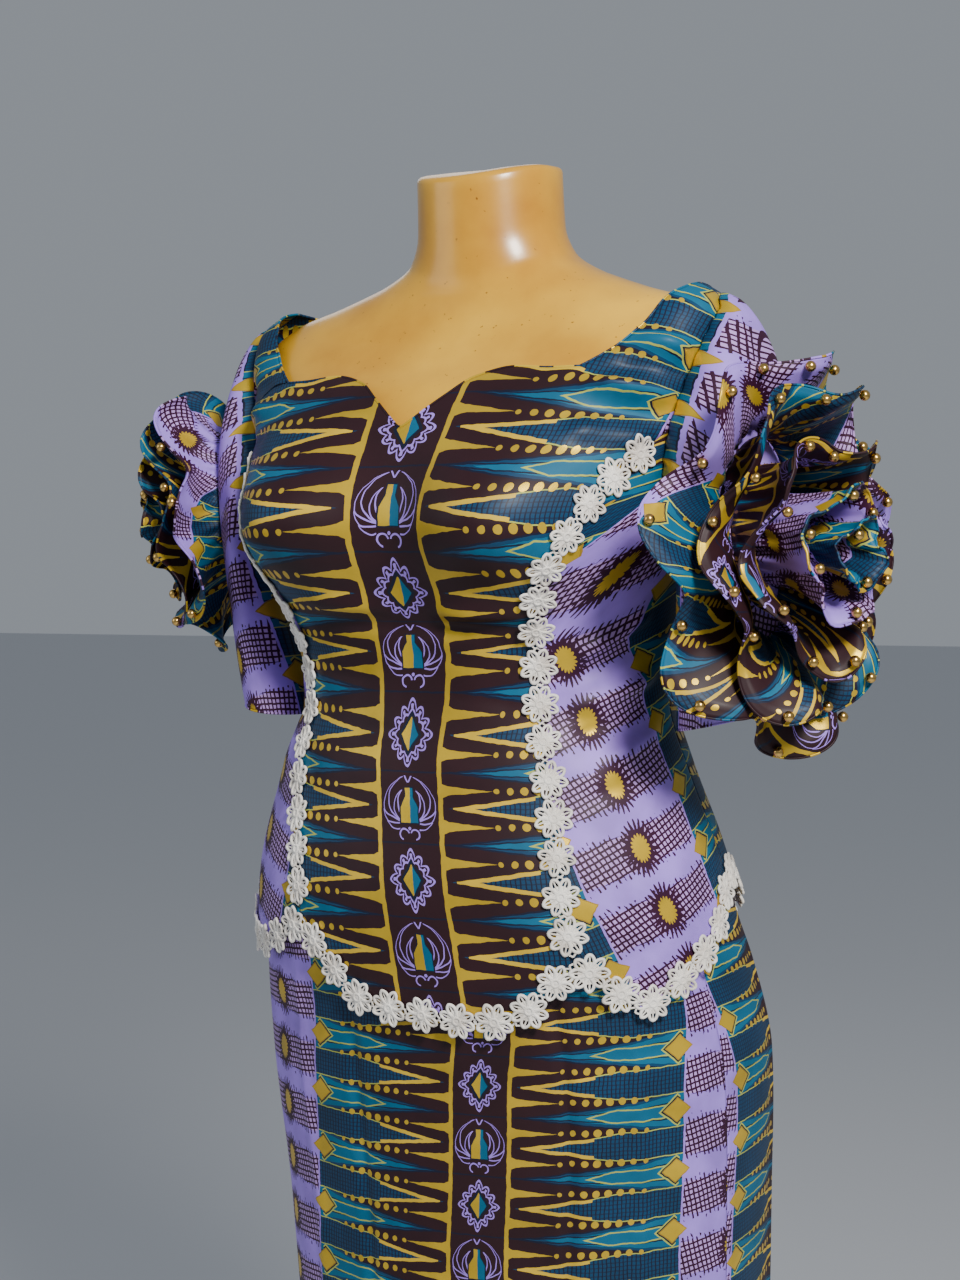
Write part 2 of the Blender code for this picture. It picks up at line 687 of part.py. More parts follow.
# Lace trim: linked daisies with eight petals each, laid along a line on the bodice.
def lace(name, ang, hgt, closed, clear):
    """ang and hgt give the line the daisies are centred on, finely sampled."""
    p, _ = skin(ang, hgt, flare(hgt))
    step = np.linalg.norm(np.diff(p, axis=0), axis=1)
    dist = np.concatenate([[0], np.cumsum(step)])
    pitch = 2 * DAISY * math.cos(math.pi / 8)
    count = int(round(dist[-1] / pitch)) if closed else int((dist[-1]) / pitch)
    pitch = dist[-1] / count
    centres = (np.arange(count) + 0.5) * pitch
    ca = np.interp(centres, dist, ang)
    ch = np.interp(centres, dist, hgt)
    joints = np.arange(count + 1) * pitch
    ja = np.interp(joints, dist, ang)
    jh = np.interp(joints, dist, hgt)
    ahead = 0.004

    def frame(d, a0, h0):
        a1 = float(np.interp(d + ahead, dist, ang))
        h1 = float(np.interp(d + ahead, dist, hgt))
        a2 = float(np.interp(d - ahead, dist, ang))
        h2 = float(np.interp(d - ahead, dist, hgt))
        pa, _ = skin(np.array([a1, a2]), np.array([h1, h2]), flare(np.array([h1, h2])))
        along = pa[0] - pa[1]
        _, n = skin(np.array([a0]), np.array([h0]))
        n = n[0]
        along = along - n * np.dot(along, n)
        along = along / np.linalg.norm(along)
        return along, np.cross(n, along)

    def lay(a0, h0, along, across, du, dv):
        """Moves du along and dv across from a point of the figure, staying on it."""
        want = figure(a0, h0) + along * du + across * dv
        a = a0
        h = h0
        for _ in range(6):
            here = figure(a, h)
            ta = (figure(a + 0.05, h) - here) / 0.05
            th = (figure(a, h + 0.0005) - here) / 0.0005
            m = np.array([[ta @ ta, ta @ th], [ta @ th, th @ th]])
            da, dh = np.linalg.solve(m, [(want - here) @ ta, (want - here) @ th])
            a += float(np.clip(da, -4, 4))
            h += float(np.clip(dh, -0.02, 0.02))
        return a, h

    spots = []
    tops = []
    faces = []

    def point(a, h, dome):
        spots.append((a, h))
        tops.append(dome)
        return len(spots) - 1

    tip = DAISY * math.sin(math.pi / 8)
    links = []
    for k in range(count + (0 if closed else 1)):
        along, across = frame(joints[k], ja[k], jh[k])
        links.append((point(*lay(ja[k], jh[k], along, across, 0, tip), 0.0),
                      point(*lay(ja[k], jh[k], along, across, 0, -tip), 0.0)))
    if closed:
        links.append(links[0])
    for k in range(count):
        along, across = frame(centres[k], ca[k], ch[k])
        mid = point(ca[k], ch[k], 0.0009)
        ring = [links[k + 1][0]]
        for m in range(1, 8):
            for deg, rad in ((22.5 * (2 * m), 0.68), (22.5 * (2 * m + 1), 1.0)):
                if deg == 180.0 or deg > 337.0:
                    continue
                if deg in (157.5, 202.5):
                    ring.append(links[k][0] if deg < 180 else links[k][1])
                    continue
                du = rad * DAISY * math.cos(math.radians(deg))
                dv = rad * DAISY * math.sin(math.radians(deg))
                ring.append(point(*lay(ca[k], ch[k], along, across, du, dv), 0.0))
        ring.append(links[k + 1][1])
        for m in range(len(ring)):
            faces.append((mid, ring[m], ring[(m + 1) % len(ring)]))
    a = np.array([s[0] for s in spots])
    h = np.array([s[1] for s in spots])
    dome = np.array(tops)
    hollow = 0.0020 * np.exp(-((h - 1.163) / 0.022)**2)
    low, nrm = skin(a, h, flare(h) + clear + hollow)
    high = low + nrm * (LACE + dome)[:, None]
    n = len(low)
    turn = sum(np.dot(np.cross(high[f[1]] - high[f[0]], high[f[2]] - high[f[0]]), nrm[f[0]]) for f in faces)
    out = [f if turn > 0 else (f[0], f[2], f[1]) for f in faces]
    used = {}
    for f in out:
        for x, y in ((f[0], f[1]), (f[1], f[2]), (f[2], f[0])):
            used[(x, y)] = 1
    solid = list(out) + [(n + f[0], n + f[2], n + f[1]) for f in out]
    for x, y in used:
        if (y, x) not in used:
            solid.append((y, x, n + x, n + y))
    node(name, np.concatenate([high, low]), solid, IVORY, 0.8)


def lace_lines():
    for side, name in ((1, "lace_princess_left"), (-1, "lace_princess_right")):
        a0, h0 = meet(lambda h: princess(h, side), 0.93)
        h = np.linspace(1.2840, h0 + 2.06 * DAISY, 240)
        lace(name, princess(h, side), h, False, LACE_OUT)
    a = np.linspace(-180, 180, 900)
    lace("lace_hem", a, hem(a), True, LACE_OUT_HEM)


lace_lines()
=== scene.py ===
import math
from functools import partial

import bmesh
import bpy
import numpy as np
from mathutils import Matrix, Vector


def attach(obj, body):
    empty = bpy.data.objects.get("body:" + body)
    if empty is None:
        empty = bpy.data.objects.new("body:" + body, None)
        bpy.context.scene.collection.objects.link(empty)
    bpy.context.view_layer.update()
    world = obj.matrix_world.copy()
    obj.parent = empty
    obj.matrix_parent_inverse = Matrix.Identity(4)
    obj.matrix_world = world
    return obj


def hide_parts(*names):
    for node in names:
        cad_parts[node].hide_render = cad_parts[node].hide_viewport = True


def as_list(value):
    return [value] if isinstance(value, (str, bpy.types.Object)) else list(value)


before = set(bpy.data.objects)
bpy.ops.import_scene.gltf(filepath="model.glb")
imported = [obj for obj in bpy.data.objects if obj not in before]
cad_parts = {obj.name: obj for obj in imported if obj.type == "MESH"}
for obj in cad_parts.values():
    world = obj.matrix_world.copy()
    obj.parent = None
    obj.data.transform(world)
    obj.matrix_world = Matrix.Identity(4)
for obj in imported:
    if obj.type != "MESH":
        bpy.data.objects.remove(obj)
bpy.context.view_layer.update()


# Dress form: a limbless torso moulded in amber plastic, glossy and a little dusty, with a flat
# cap on the neck. It is one shell; its skin is the figure that the whole dress is cut to.
# columns: height at the side, at the front, at the back, half width, middle in y, depth to the
# front, depth to the back, squareness
FIGURE = np.array([
    (0.060, 0.060, 0.060, 0.187, 0.026, 0.154, 0.163, 2.00),
    (0.300, 0.300, 0.300, 0.187, 0.026, 0.154, 0.163, 2.05),
    (0.560, 0.560, 0.560, 0.189, 0.026, 0.154, 0.163, 2.10),
    (0.700, 0.700, 0.700, 0.194, 0.026, 0.154, 0.165, 2.15),
    (0.820, 0.820, 0.820, 0.200, 0.021, 0.155, 0.165, 2.20),
    (0.900, 0.900, 0.900, 0.193, 0.005, 0.147, 0.155, 2.20),
    (0.985, 0.985, 0.985, 0.182, -0.012, 0.131, 0.141, 2.15),
    (1.050, 1.050, 1.050, 0.166, -0.014, 0.117, 0.122, 2.10),
    (1.100, 1.100, 1.100, 0.151, -0.006, 0.110, 0.109, 2.10),
    (1.155, 1.155, 1.155, 0.158, 0.000, 0.117, 0.106, 2.10),
    (1.240, 1.240, 1.240, 0.178, 0.000, 0.126, 0.113, 2.20),
    (1.300, 1.300, 1.300, 0.188, 0.002, 0.114, 0.118, 2.30),
    (1.345, 1.335, 1.340, 0.195, 0.005, 0.097, 0.110, 2.30),
    (1.380, 1.357, 1.372, 0.193, 0.012, 0.080, 0.086, 2.20),
    (1.396, 1.375, 1.396, 0.172, 0.016, 0.068, 0.075, 2.10),
    (1.406, 1.390, 1.412, 0.132, 0.020, 0.060, 0.068, 2.05),
    (1.418, 1.404, 1.427, 0.092, 0.024, 0.057, 0.062, 2.00),
    (1.434, 1.420, 1.443, 0.066, 0.025, 0.055, 0.058, 2.00),
    (1.455, 1.445, 1.460, 0.0575, 0.025, 0.055, 0.056, 2.00),
    (1.503, 1.495, 1.511, 0.0560, 0.025, 0.055, 0.056, 2.00),
])
BUST_X = 0.096          # from the middle of the figure to the middle of each breast
BUST_Z = 1.236
BUST_OUT = 0.056        # how far the bust stands out under the cloth, and on the torso itself
FORM_BUST_OUT = 0.052
BUST_HALF = 0.070       # how fast it falls off sideways, upwards and downwards
BUST_ABOVE = 0.062
BUST_BELOW = 0.052
FORM_IN = 0.0050        # how far the torso's skin lies inside the figure, above and below the waist
FORM_IN_LOW = 0.0110
WAIST_FROM = 1.165      # height at which that depth begins to change, and the height it takes
WAIST_OVER = 0.07
NECK_FROM = 1.414       # from here up the bare skin comes out to the figure
NECK_OVER = 0.020
FORM_LOW = 0.660        # where the torso turns under, and where its neck ends
NECK_TOP = 1.4955
STEP_ANG = 0.05         # small steps over which slopes of the figure are measured
STEP_H = 0.0005
WELD = 0.00005          # points nearer than this are one


def curve(x, table, column=1):
    """Smooth curve through a column of a table, over its first column, that never overshoots."""
    xs, ys = table[:, 0], table[:, column]
    x = np.clip(np.asarray(x, float), xs[0], xs[-1])
    h = np.diff(xs)
    d = np.diff(ys) / h
    m = np.zeros(len(xs))
    for i in range(1, len(xs) - 1):
        if d[i - 1] * d[i] > 0:
            w1 = 2 * h[i] + h[i - 1]
            w2 = h[i] + 2 * h[i - 1]
            m[i] = (w1 + w2) / (w1 / d[i - 1] + w2 / d[i])
    m[0] = d[0]
    m[-1] = d[-1]
    i = np.clip(np.searchsorted(xs, x) - 1, 0, len(h) - 1)
    t = (x - xs[i]) / h[i]
    return ((2 * t**3 - 3 * t**2 + 1) * ys[i] + (t**3 - 2 * t**2 + t) * h[i] * m[i]
            + (3 * t**2 - 2 * t**3) * ys[i + 1] + (t**3 - t**2) * h[i] * m[i + 1])


def ease(t):
    """From 0 to 1 with a soft start and a soft end."""
    t = np.clip(t, 0, 1)
    return t * t * (3 - 2 * t)


def unit(v):
    """Directions one long."""
    return v / np.linalg.norm(v, axis=-1, keepdims=True)


def figure(ang, h, bust=BUST_OUT):
    """Point of the figure. ang is in degrees, 0 at the front and 90 at the wearer's left."""
    ang = np.asarray(ang, float) + 0 * np.asarray(h, float)
    h = np.asarray(h, float) + 0 * ang
    zf, zb, a, cy, f, b, n = [curve(h, FIGURE, k) for k in range(1, 8)]
    s = np.sin(np.radians(ang))
    c = np.cos(np.radians(ang))
    x = a * np.sign(s) * np.abs(s) ** (2 / n)
    y = cy - np.where(c > 0, f, b) * np.sign(c) * np.abs(c) ** (2 / n)
    z = h * s**2 + np.where(c > 0, zf, zb) * c**2
    for x0 in (-BUST_X, BUST_X):
        fall = np.where(z > BUST_Z, BUST_ABOVE, BUST_BELOW)
        bump = bust * np.exp(-((x - x0) / BUST_HALF)**2 - ((z - BUST_Z) / fall)**2)
        y = y - np.where(c > 0, bump, 0)
    return np.stack([x, y, z], -1)


def skin(ang, h, out=0.0, bust=BUST_OUT):
    """Point of the figure moved out along its normal, with that normal."""
    across = figure(ang + STEP_ANG, h, bust) - figure(ang - STEP_ANG, h, bust)
    n = unit(np.cross(across, figure(ang, h + STEP_H, bust) - figure(ang, h - STEP_H, bust)))
    return figure(ang, h, bust) + n * np.asarray(out)[..., None], n


def linked(bm, name):
    """Turns a bmesh into a smooth piece of the scene."""
    me = bpy.data.meshes.new(name)
    bm.to_mesh(me)
    bm.free()
    me.polygons.foreach_set("use_smooth", [True] * len(me.polygons))
    ob = bpy.data.objects.new(name, me)
    bpy.context.scene.collection.objects.link(ob)
    return ob


def woven(name, cols, rows, place, chart=None, weld=0.0):
    """A sheet: a grid whose point for each (s, t) in the unit square comes from place. chart gives
    the print's coordinates in metres for (s, t)."""
    bm = bmesh.new()
    bm.loops.layers.uv.new("print")
    bmesh.ops.create_grid(bm, x_segments=cols, y_segments=rows, size=1, calc_uvs=True)
    flat = np.array([v.co[:2] for v in bm.verts])
    points = place((flat[:, 0] + 1) / 2, (flat[:, 1] + 1) / 2)
    for vert, p in zip(bm.verts, points):
        vert.co = p
    if weld > 0:
        bmesh.ops.remove_doubles(bm, verts=bm.verts, dist=weld)
    ob = linked(bm, name)
    if chart is not None:
        layer = ob.data.uv_layers["print"].data
        uv = np.zeros(2 * len(layer))
        layer.foreach_get("uv", uv)
        uv = uv.reshape(-1, 2)
        layer.foreach_set("uv", chart(uv[:, 0], uv[:, 1]).ravel())
    return ob


def fitted(piece, material, node_name=None):
    """Gives a piece its material and its place in the part."""
    piece.data.materials.append(material)
    if node_name:
        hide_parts(node_name)
    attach(piece, "root")


def dye(r, g, b):
    """A colour given from 0 to 255, as the shader's linear red, green and blue."""
    shares = [c / 255 for c in (r, g, b)]
    return tuple(c / 12.92 if c <= 0.04 else ((c + 0.055) / 1.055) ** 2.4 for c in shares) + (1,)


def finish(name, **sockets):
    """A material with a Principled shader, its sockets set by name. Returns it with its tree."""
    m = bpy.data.materials.new(name)
    m.use_nodes = True
    shader = m.node_tree.nodes["Principled BSDF"]
    for key, value in sockets.items():
        shader.inputs[key.replace("_", " ")].default_value = value
    return m, m.node_tree, shader


def feed(tree, socket, term):
    """Sets a node's input to another node's output or to a plain value."""
    if isinstance(term, bpy.types.NodeSocket):
        tree.links.new(term, socket)
    else:
        socket.default_value = term


def noise(tree, scale, detail, where=None, dims="3D"):
    """Cloudy noise, in the piece's own coordinates unless where gives others."""
    n = tree.nodes.new("ShaderNodeTexNoise")
    n.noise_dimensions = dims
    n.inputs["Scale"].default_value = scale
    n.inputs["Detail"].default_value = detail
    tree.links.new(where or tree.nodes.new("ShaderNodeTexCoord").outputs["Object"], n.inputs["Vector"])
    return n.outputs


def ramp(tree, amount, low, high, colours):
    """From the first colour at low to the second at high."""
    n = tree.nodes.new("ShaderNodeValToRGB")
    for stop, at, colour in zip(n.color_ramp.elements, (low, high), colours):
        stop.position = at
        stop.color = colour
    tree.links.new(amount, n.inputs["Fac"])
    return n.outputs["Color"]


def mixed(tree, first, second, factor=1.0, blend="MULTIPLY"):
    """One colour laid over another."""
    mix = tree.nodes.new("ShaderNodeMix")
    mix.data_type = "RGBA"
    mix.blend_type = blend
    for k, term in ((0, factor), (6, first), (7, second)):
        feed(tree, mix.inputs[k], term)
    return mix.outputs[2]


def grained(tree, shader, height, strength, distance):
    """Relief that is too fine to model."""
    bump = tree.nodes.new("ShaderNodeBump")
    bump.inputs["Strength"].default_value = strength
    bump.inputs["Distance"].default_value = distance
    tree.links.new(height, bump.inputs["Height"])
    tree.links.new(bump.outputs["Normal"], shader.inputs["Normal"])


# The torso's rings, from the middle of its foot to the middle of its cap.
# columns: height on the figure, share of the figure's ring, rise
FORM_RINGS = np.array(
    [(FORM_LOW, share, rise) for share, rise in (
        (0.0, -0.0198), (0.40, -0.0198), (0.78, -0.0195), (0.88, -0.0165), (0.955, -0.0105),
        (0.985, -0.0055))]
    + [(h, 1.0, 0.0) for lo, hi, count in (
        (FORM_LOW, 1.10, 40), (1.11, 1.36, 44), (1.365, 1.44, 34), (1.446, NECK_TOP, 12))
        for h in np.linspace(lo, hi, count)]
    + [(NECK_TOP, share, rise) for share, rise in (
        (0.992, 0.0018), (0.972, 0.0034), (0.94, 0.0044), (0.86, 0.0052), (0.5, 0.0060), (0.0, 0.0062))])


def form_place(s, t):
    """The torso's rings in turn, each drawn in towards its own middle."""
    h, share, rise = FORM_RINGS[np.round(t * (len(FORM_RINGS) - 1)).astype(int)].T
    low = ease((WAIST_FROM - h) / WAIST_OVER)
    covered = np.clip((NECK_FROM - h) / NECK_OVER, 0, 1)
    out = -(FORM_IN + (FORM_IN_LOW - FORM_IN) * low) * covered
    p, _ = skin(s * 360 - 180, h, out, FORM_BUST_OUT)
    end = np.where(h < 1, FORM_LOW, NECK_TOP)
    middle = np.stack([0 * h, curve(end, FIGURE, 4), end], -1)
    p = middle + (p - middle) * share[:, None]
    p[:, 2] += rise
    return p


torso = woven("dress_form_torso", 96, len(FORM_RINGS) - 1, form_place, weld=WELD)
amber, tree, shader = finish("moulded_amber_plastic", Roughness=0.30, Coat_Weight=0.35,
                             Coat_Roughness=0.18, Specular_IOR_Level=0.5)
cloud = noise(tree, 9.0, 5.0)["Fac"]
specks = noise(tree, 240.0, 3.0)["Fac"]
mottled = ramp(tree, cloud, 0.30, 0.72, (dye(190, 130, 24), dye(238, 184, 50)))
dirt = ramp(tree, specks, 0.255, 0.300, ((0.42, 0.32, 0.24, 1), (1, 1, 1, 1)))
tree.links.new(mixed(tree, mottled, dirt), shader.inputs["Base Color"])
grained(tree, shader, specks, 0.05, 0.0006)
fitted(torso, amber, "form_torso")


# Stand: a round brushed steel base with a rolled edge, a steel pole and a round plate bolted
# under the torso. They are turned pieces with a fine brushed grain.
def spun(name, profile):
    """Spins a profile of (radius, height) points once round the Z axis."""
    bm = bmesh.new()
    verts = [bm.verts.new((r, 0, z)) for r, z in profile]
    edges = [bm.edges.new(pair) for pair in zip(verts, verts[1:])]
    bmesh.ops.spin(bm, geom=verts + edges, cent=(0, 0, 0), axis=(0, 0, 1), angle=2 * math.pi,
                   steps=96, use_merge=True)
    bmesh.ops.remove_doubles(bm, verts=bm.verts, dist=0.00002)
    bmesh.ops.recalc_face_normals(bm, faces=bm.faces)
    piece = linked(bm, name)
    piece.data.set_sharp_from_angle(angle=math.radians(35))
    return piece


def corner(r, z, size, up):
    """Quarter round between a wall of radius r and a flat at height z."""
    turns = np.radians([0, 18, 36, 54, 72, 90])
    if up:
        return [(r - size + size * math.cos(a), z - size + size * math.sin(a)) for a in turns]
    return [(r - size + size * math.cos(a), z + size - size * math.sin(a)) for a in turns][::-1]


steel, tree, shader = finish("brushed_steel", Metallic=1.0, Roughness=0.34)
brushing = tree.nodes.new("ShaderNodeMapping")
brushing.inputs["Scale"].default_value = (6, 6, 900)
tree.links.new(tree.nodes.new("ShaderNodeTexCoord").outputs["Object"], brushing.inputs["Vector"])
grain = noise(tree, 1.0, 4.0, brushing.outputs["Vector"])["Fac"]
greys = ramp(tree, grain, 0, 1, (dye(150, 150, 152), dye(196, 196, 196)))
tree.links.new(greys, shader.inputs["Base Color"])
grained(tree, shader, grain, 0.12, 0.0003)

# columns: piece, radius, bottom, top, rounding of the lower and of the upper rim, flat top's rings
STAND = (
    ("base", 0.190, 0.0, 0.012, 0.001, 0.004, [(0.045, 0.012)]),
    ("pole", 0.016, 0.0124, 0.6276, 0.0006, 0.001, []),
    ("plate", 0.055, 0.628, 0.6401, 0.001, 0.002, []),
)
for word, r, low, high, rim_low, rim_high, flat in STAND:
    rims = corner(r, low, rim_low, False) + corner(r, high, rim_high, True)
    profile = [(0, low)] + rims + flat + [(0, high)]
    fitted(spun("stand_" + word, profile), steel, "form_" + word)


# Dress cloth: African wax print on plain cotton, waxed and lightly glossy, printed on both faces.
# A maroon stripe with lilac medallions is edged by gold lines and spikes; teal spears, gold
# chevrons and rows of gold dots run out from it to a lilac ground with hatching and sunbursts.
PITCH = 0.0229          # from one gold spike to the next along the stripe
HALF = 0.203            # from the middle of a stripe to the middle of the lilac ground
SHAKE = 0.0011          # how far the printed lines stray from true
THREAD = 0.0009         # from one thread of the cloth to the next
MAROON = dye(42, 18, 25)
GOLD = dye(214, 178, 50)
OCHRE = dye(160, 128, 38)
TEAL = dye(6, 98, 132)
DEEP = dye(12, 60, 94)
NAVY = dye(16, 22, 46)
LIME = dye(176, 184, 84)
LILAC = dye(166, 134, 234)
PLUM = dye(52, 14, 44)
PINK = dye(190, 152, 222)


def sign(kind):
    """What an arithmetic sign between two values does."""
    return lambda left, right: maths(kind, left, right)


class Value:
    """A number worked out in a material's nodes, written as plain arithmetic."""
    tree = None
    __add__ = __radd__ = sign("ADD")
    __mul__ = __rmul__ = sign("MULTIPLY")
    __sub__ = sign("SUBTRACT")
    __truediv__ = sign("DIVIDE")
    __lt__ = sign("LESS_THAN")
    __gt__ = sign("GREATER_THAN")

    def __init__(self, socket):
        self.socket = socket

    def __rsub__(self, other):
        return maths("SUBTRACT", other, self)


def maths(kind, *terms):
    n = Value.tree.nodes.new("ShaderNodeMath")
    n.operation = kind
    for socket, term in zip(n.inputs, terms):
        feed(Value.tree, socket, getattr(term, "socket", term))
    return Value(n.outputs[0])


size_of = partial(maths, "ABSOLUTE")
least = partial(maths, "MINIMUM")
most = partial(maths, "MAXIMUM")
wave = partial(maths, "COSINE")
about = partial(maths, "COMPARE")       # 1 where the first number is within the third of the second


def reach(x, y):
    """Distance of a point from the middle."""
    return maths("SQRT", maths("MULTIPLY_ADD", x, x, y * y))


def ruled(x, gap, line):
    """1 on lines that are gap apart."""
    return size_of(maths("PINGPONG", x, gap / 2)) < line / 2


def dyed(under, mask, colour):
    """The colour so far, with a new colour laid over it where mask is 1."""
    return Value(mixed(Value.tree, getattr(under, "socket", under), colour, mask.socket, "MIX"))


def spread(tree, amount, low, high, from_low=0.0, from_high=1.0):
    """A number's range stretched to run from low to high."""
    n = tree.nodes.new("ShaderNodeMapRange")
    for socket, term in zip(n.inputs, (amount, from_low, from_high, low, high)):
        feed(tree, socket, term)
    return n.outputs["Result"]


def wax_print():
    cloth, tree, shader = finish("wax_print_cotton", Specular_IOR_Level=0.28, Coat_Weight=0.03,
                                 Coat_Roughness=0.25)
    Value.tree = tree
    at = tree.nodes.new("ShaderNodeUVMap")
    at.uv_map = "print"
    where = at.outputs["UV"]
    bend = tree.nodes.new("ShaderNodeSeparateColor")
    tree.links.new(noise(tree, 150.0, 1.0, where, "2D")["Color"], bend.inputs["Color"])
    split = tree.nodes.new("ShaderNodeSeparateXYZ")
    tree.links.new(where, split.inputs["Vector"])
    u, v = [maths("MULTIPLY_ADD", Value(bend.outputs[k]) - 0.5, SHAKE, Value(split.outputs[k]))
            for k in (0, 1)]
    us = maths("WRAP", u, HALF, -HALF)
    a = size_of(us)
    vm = maths("WRAP", v, PITCH, -PITCH)
    diamond_row = maths("WRAP", v, 3 * PITCH, -PITCH) > PITCH
    from_b = size_of(vm)
    from_a = PITCH - from_b
    from_spike = size_of(from_b - PITCH / 2)

    # type A, a teal spear that opens round a gold diamond
    colour = MAROON
    spear = most((a - 0.027) * 0.124, 0)
    cell_a = from_a < spear
    colour = dyed(colour, cell_a, NAVY)
    colour = dyed(colour, from_a < spear - 0.0011, DEEP)
    colour = dyed(colour, from_a < spear - 0.0030, TEAL)
    colour = dyed(colour, about(from_a, spear * 0.42, 0.00045), NAVY)
    tongue = least((a - 0.078) * 0.26, 0.0050)
    colour = dyed(colour, from_a < tongue, LIME)
    colour = dyed(colour, from_a < tongue - 0.0010, TEAL)

    # type B, a gold chevron with fine dark hatching inside, which runs on to the lilac ground
    chevron = most((a - 0.027) * 0.142, 0)
    chevron_end = least(chevron, 0.0108)
    cell_b = from_b < chevron_end
    colour = dyed(colour, cell_b, DEEP)
    fine = most(ruled(u, 0.0031, 0.0009), ruled(v, 0.0031, 0.0009) * 0.6)
    colour = dyed(colour, cell_b * fine, NAVY)
    rail = about(from_b, chevron_end - 0.0013, 0.0013) * (a > 0.031)
    colour = dyed(colour, rail * (a < 0.084), GOLD)
    rim = about(from_b, chevron_end - 0.0004, 0.0004) * (a > 0.084)
    colour = dyed(colour, rim, LIME)

    # gold line, spikes and dots
    along_spike = (a - 0.022) / 0.036
    spike = from_spike < (1 - along_spike) * 0.0036 + most(0.16 - along_spike, 0) * 0.012
    gold = spike * (a < 0.058) * (a > 0.022)
    bead_at = (a - 0.0600) / 0.0088
    step = least(most(maths("ROUND", bead_at), 0), 7)
    off = (bead_at - step) * 0.0088
    big = maths("SINE", (step + 0.7) * (math.pi / 8.6)) * 0.0016 + 0.0013
    dots = reach(off, from_spike) < big
    gold = most(gold, dots)
    gold = most(gold, about(a, 0.0226, 0.0016))

    # lilac ground with bands of crossed maroon lines
    ground = a > 0.152
    colour = dyed(colour, ground, LILAC)
    fray = Value(noise(tree, 300.0, 0.0, where, "2D")["Fac"]) * 0.010 - 0.005
    colour = dyed(colour, (a > 0.1535) * (from_b < 0.0125), PINK)
    lines = most(ruled(u + v * 0.25, 0.0040, 0.0015) * (from_b < 0.0150 + fray),
                 ruled(v - u * 0.12, 0.0042, 0.0015) * (from_b < 0.0135))
    colour = dyed(colour, lines * (a > 0.1535), PLUM)

    # gold sunbursts ringed with maroon rays
    out = HALF - a
    r = reach(out * 1.32, vm * 0.96)
    turn = maths("ARCTAN2", vm * 0.96, out * 1.32)
    rays = wave(turn * 22) > (r - 0.0124) * 250 - 1.0
    colour = dyed(colour, rays * (r < 0.0198), PLUM)
    disc = r < size_of(wave(turn * 9)) * 0.0028 + 0.0071
    gold = most(gold * (1 - ground), disc)
    kite = size_of(a - 0.1465) / 0.0105 + from_a / 0.0084
    inside = a < 0.1490
    colour = dyed(colour, (kite < 1.45) * inside, LIME)
    colour = dyed(colour, (kite < 1.28) * inside, NAVY)
    colour = dyed(colour, kite < 1.12, OCHRE)
    gold = most(gold, kite < 1.0)

    # medallions in lilac line on the stripe: a petalled lozenge, then a lotus round a bottle
    stripe = a < 0.0205
    turn = maths("ARCTAN2", us / 0.0160, vm / 0.0196)
    lobes = size_of(wave(turn * 6))
    rounded = maths("POWER", maths("POWER", a / 0.0160, 1.35) + maths("POWER", from_b / 0.0196, 1.35), 0.74)
    core = a / 0.0062 + from_b / 0.0098
    lozenge = about(rounded, lobes * 0.24 + 0.74, 0.045) + about(rounded, lobes * 0.10 + 0.60, 0.040)
    lozenge = lozenge + (lobes > 0.92) * about(rounded, 0.80, 0.06)
    lozenge = lozenge * (core > 1.40)
    lotus = 0.0
    from_root = reach(a - 0.0030, vm + 0.0105)
    bearing = maths("ARCTAN2", a - 0.0030, vm + 0.0105)
    for lean, curl, tall, half in ((1.40, 1.42, 0.0305, 0.0028), (0.80, 0.70, 0.0215, 0.0019),
                                   (1.62, 0.56, 0.0182, 0.0026), (1.98, 0.52, 0.0138, 0.0021)):
        up = from_root / tall
        aside = size_of(bearing - lean + up * up * curl) * from_root
        leaf = maths("SINE", up * math.pi) * half
        lotus = lotus * (1 - (aside < leaf) * (up < 1)) + about(aside, leaf, 0.00045) * (up < 1)
    tulip = (size_of(a - (vm - 0.0158) * 0.50) < 0.0005) * about(vm, 0.0182, 0.0022)
    bottle = least(most((0.0115 - vm) * 0.55, 0.0026), 0.0062)
    curls = about(reach(a - 0.0040, vm + 0.0172), 0.0032, 0.0005) * most(a > 0.0046, vm > -0.0166)
    dots = reach(a, vm + 0.0136) < 0.0010
    lotus = least(lotus, 1) * (a > bottle + 0.0010) + tulip + curls + dots
    lilac_line = maths("MULTIPLY_ADD", diamond_row, lozenge - lotus, lotus)
    colour = dyed(colour, stripe * lilac_line, LILAC)
    colour = dyed(colour, (a < bottle + 0.0008) * about(vm, 0.0012, 0.0120) * (1 - diamond_row), NAVY)
    in_core = (core < 1.0) * diamond_row
    in_bottle = (a < bottle) * about(vm, 0.0012, 0.0112) * (1 - diamond_row)
    heart = stripe * most(in_core, in_bottle)
    colour = dyed(colour, stripe * (core < 1.35) * diamond_row, NAVY)
    colour = dyed(colour, heart, TEAL)
    gold = most(gold, heart * (us < 0.0006))
    colour = dyed(colour, gold, GOLD)

    # depth of dye varies over the cloth
    depth = spread(tree, noise(tree, 26.0, 6.0, where, "2D")["Fac"], 0.78, 1.08, 0.3, 0.7)
    tree.links.new(mixed(tree, colour.socket, depth), shader.inputs["Base Color"])
    tree.links.new((gold * 0.45).socket, shader.inputs["Metallic"])
    tree.links.new((0.54 - gold * 0.18).socket, shader.inputs["Roughness"])

    # threads of the plain weave
    weave = wave(u * (2 * math.pi / THREAD)) * wave(v * (2 * math.pi / THREAD))
    grained(tree, shader, weave.socket, 0.10, 0.0002)
    return cloth


print_cloth = wax_print()


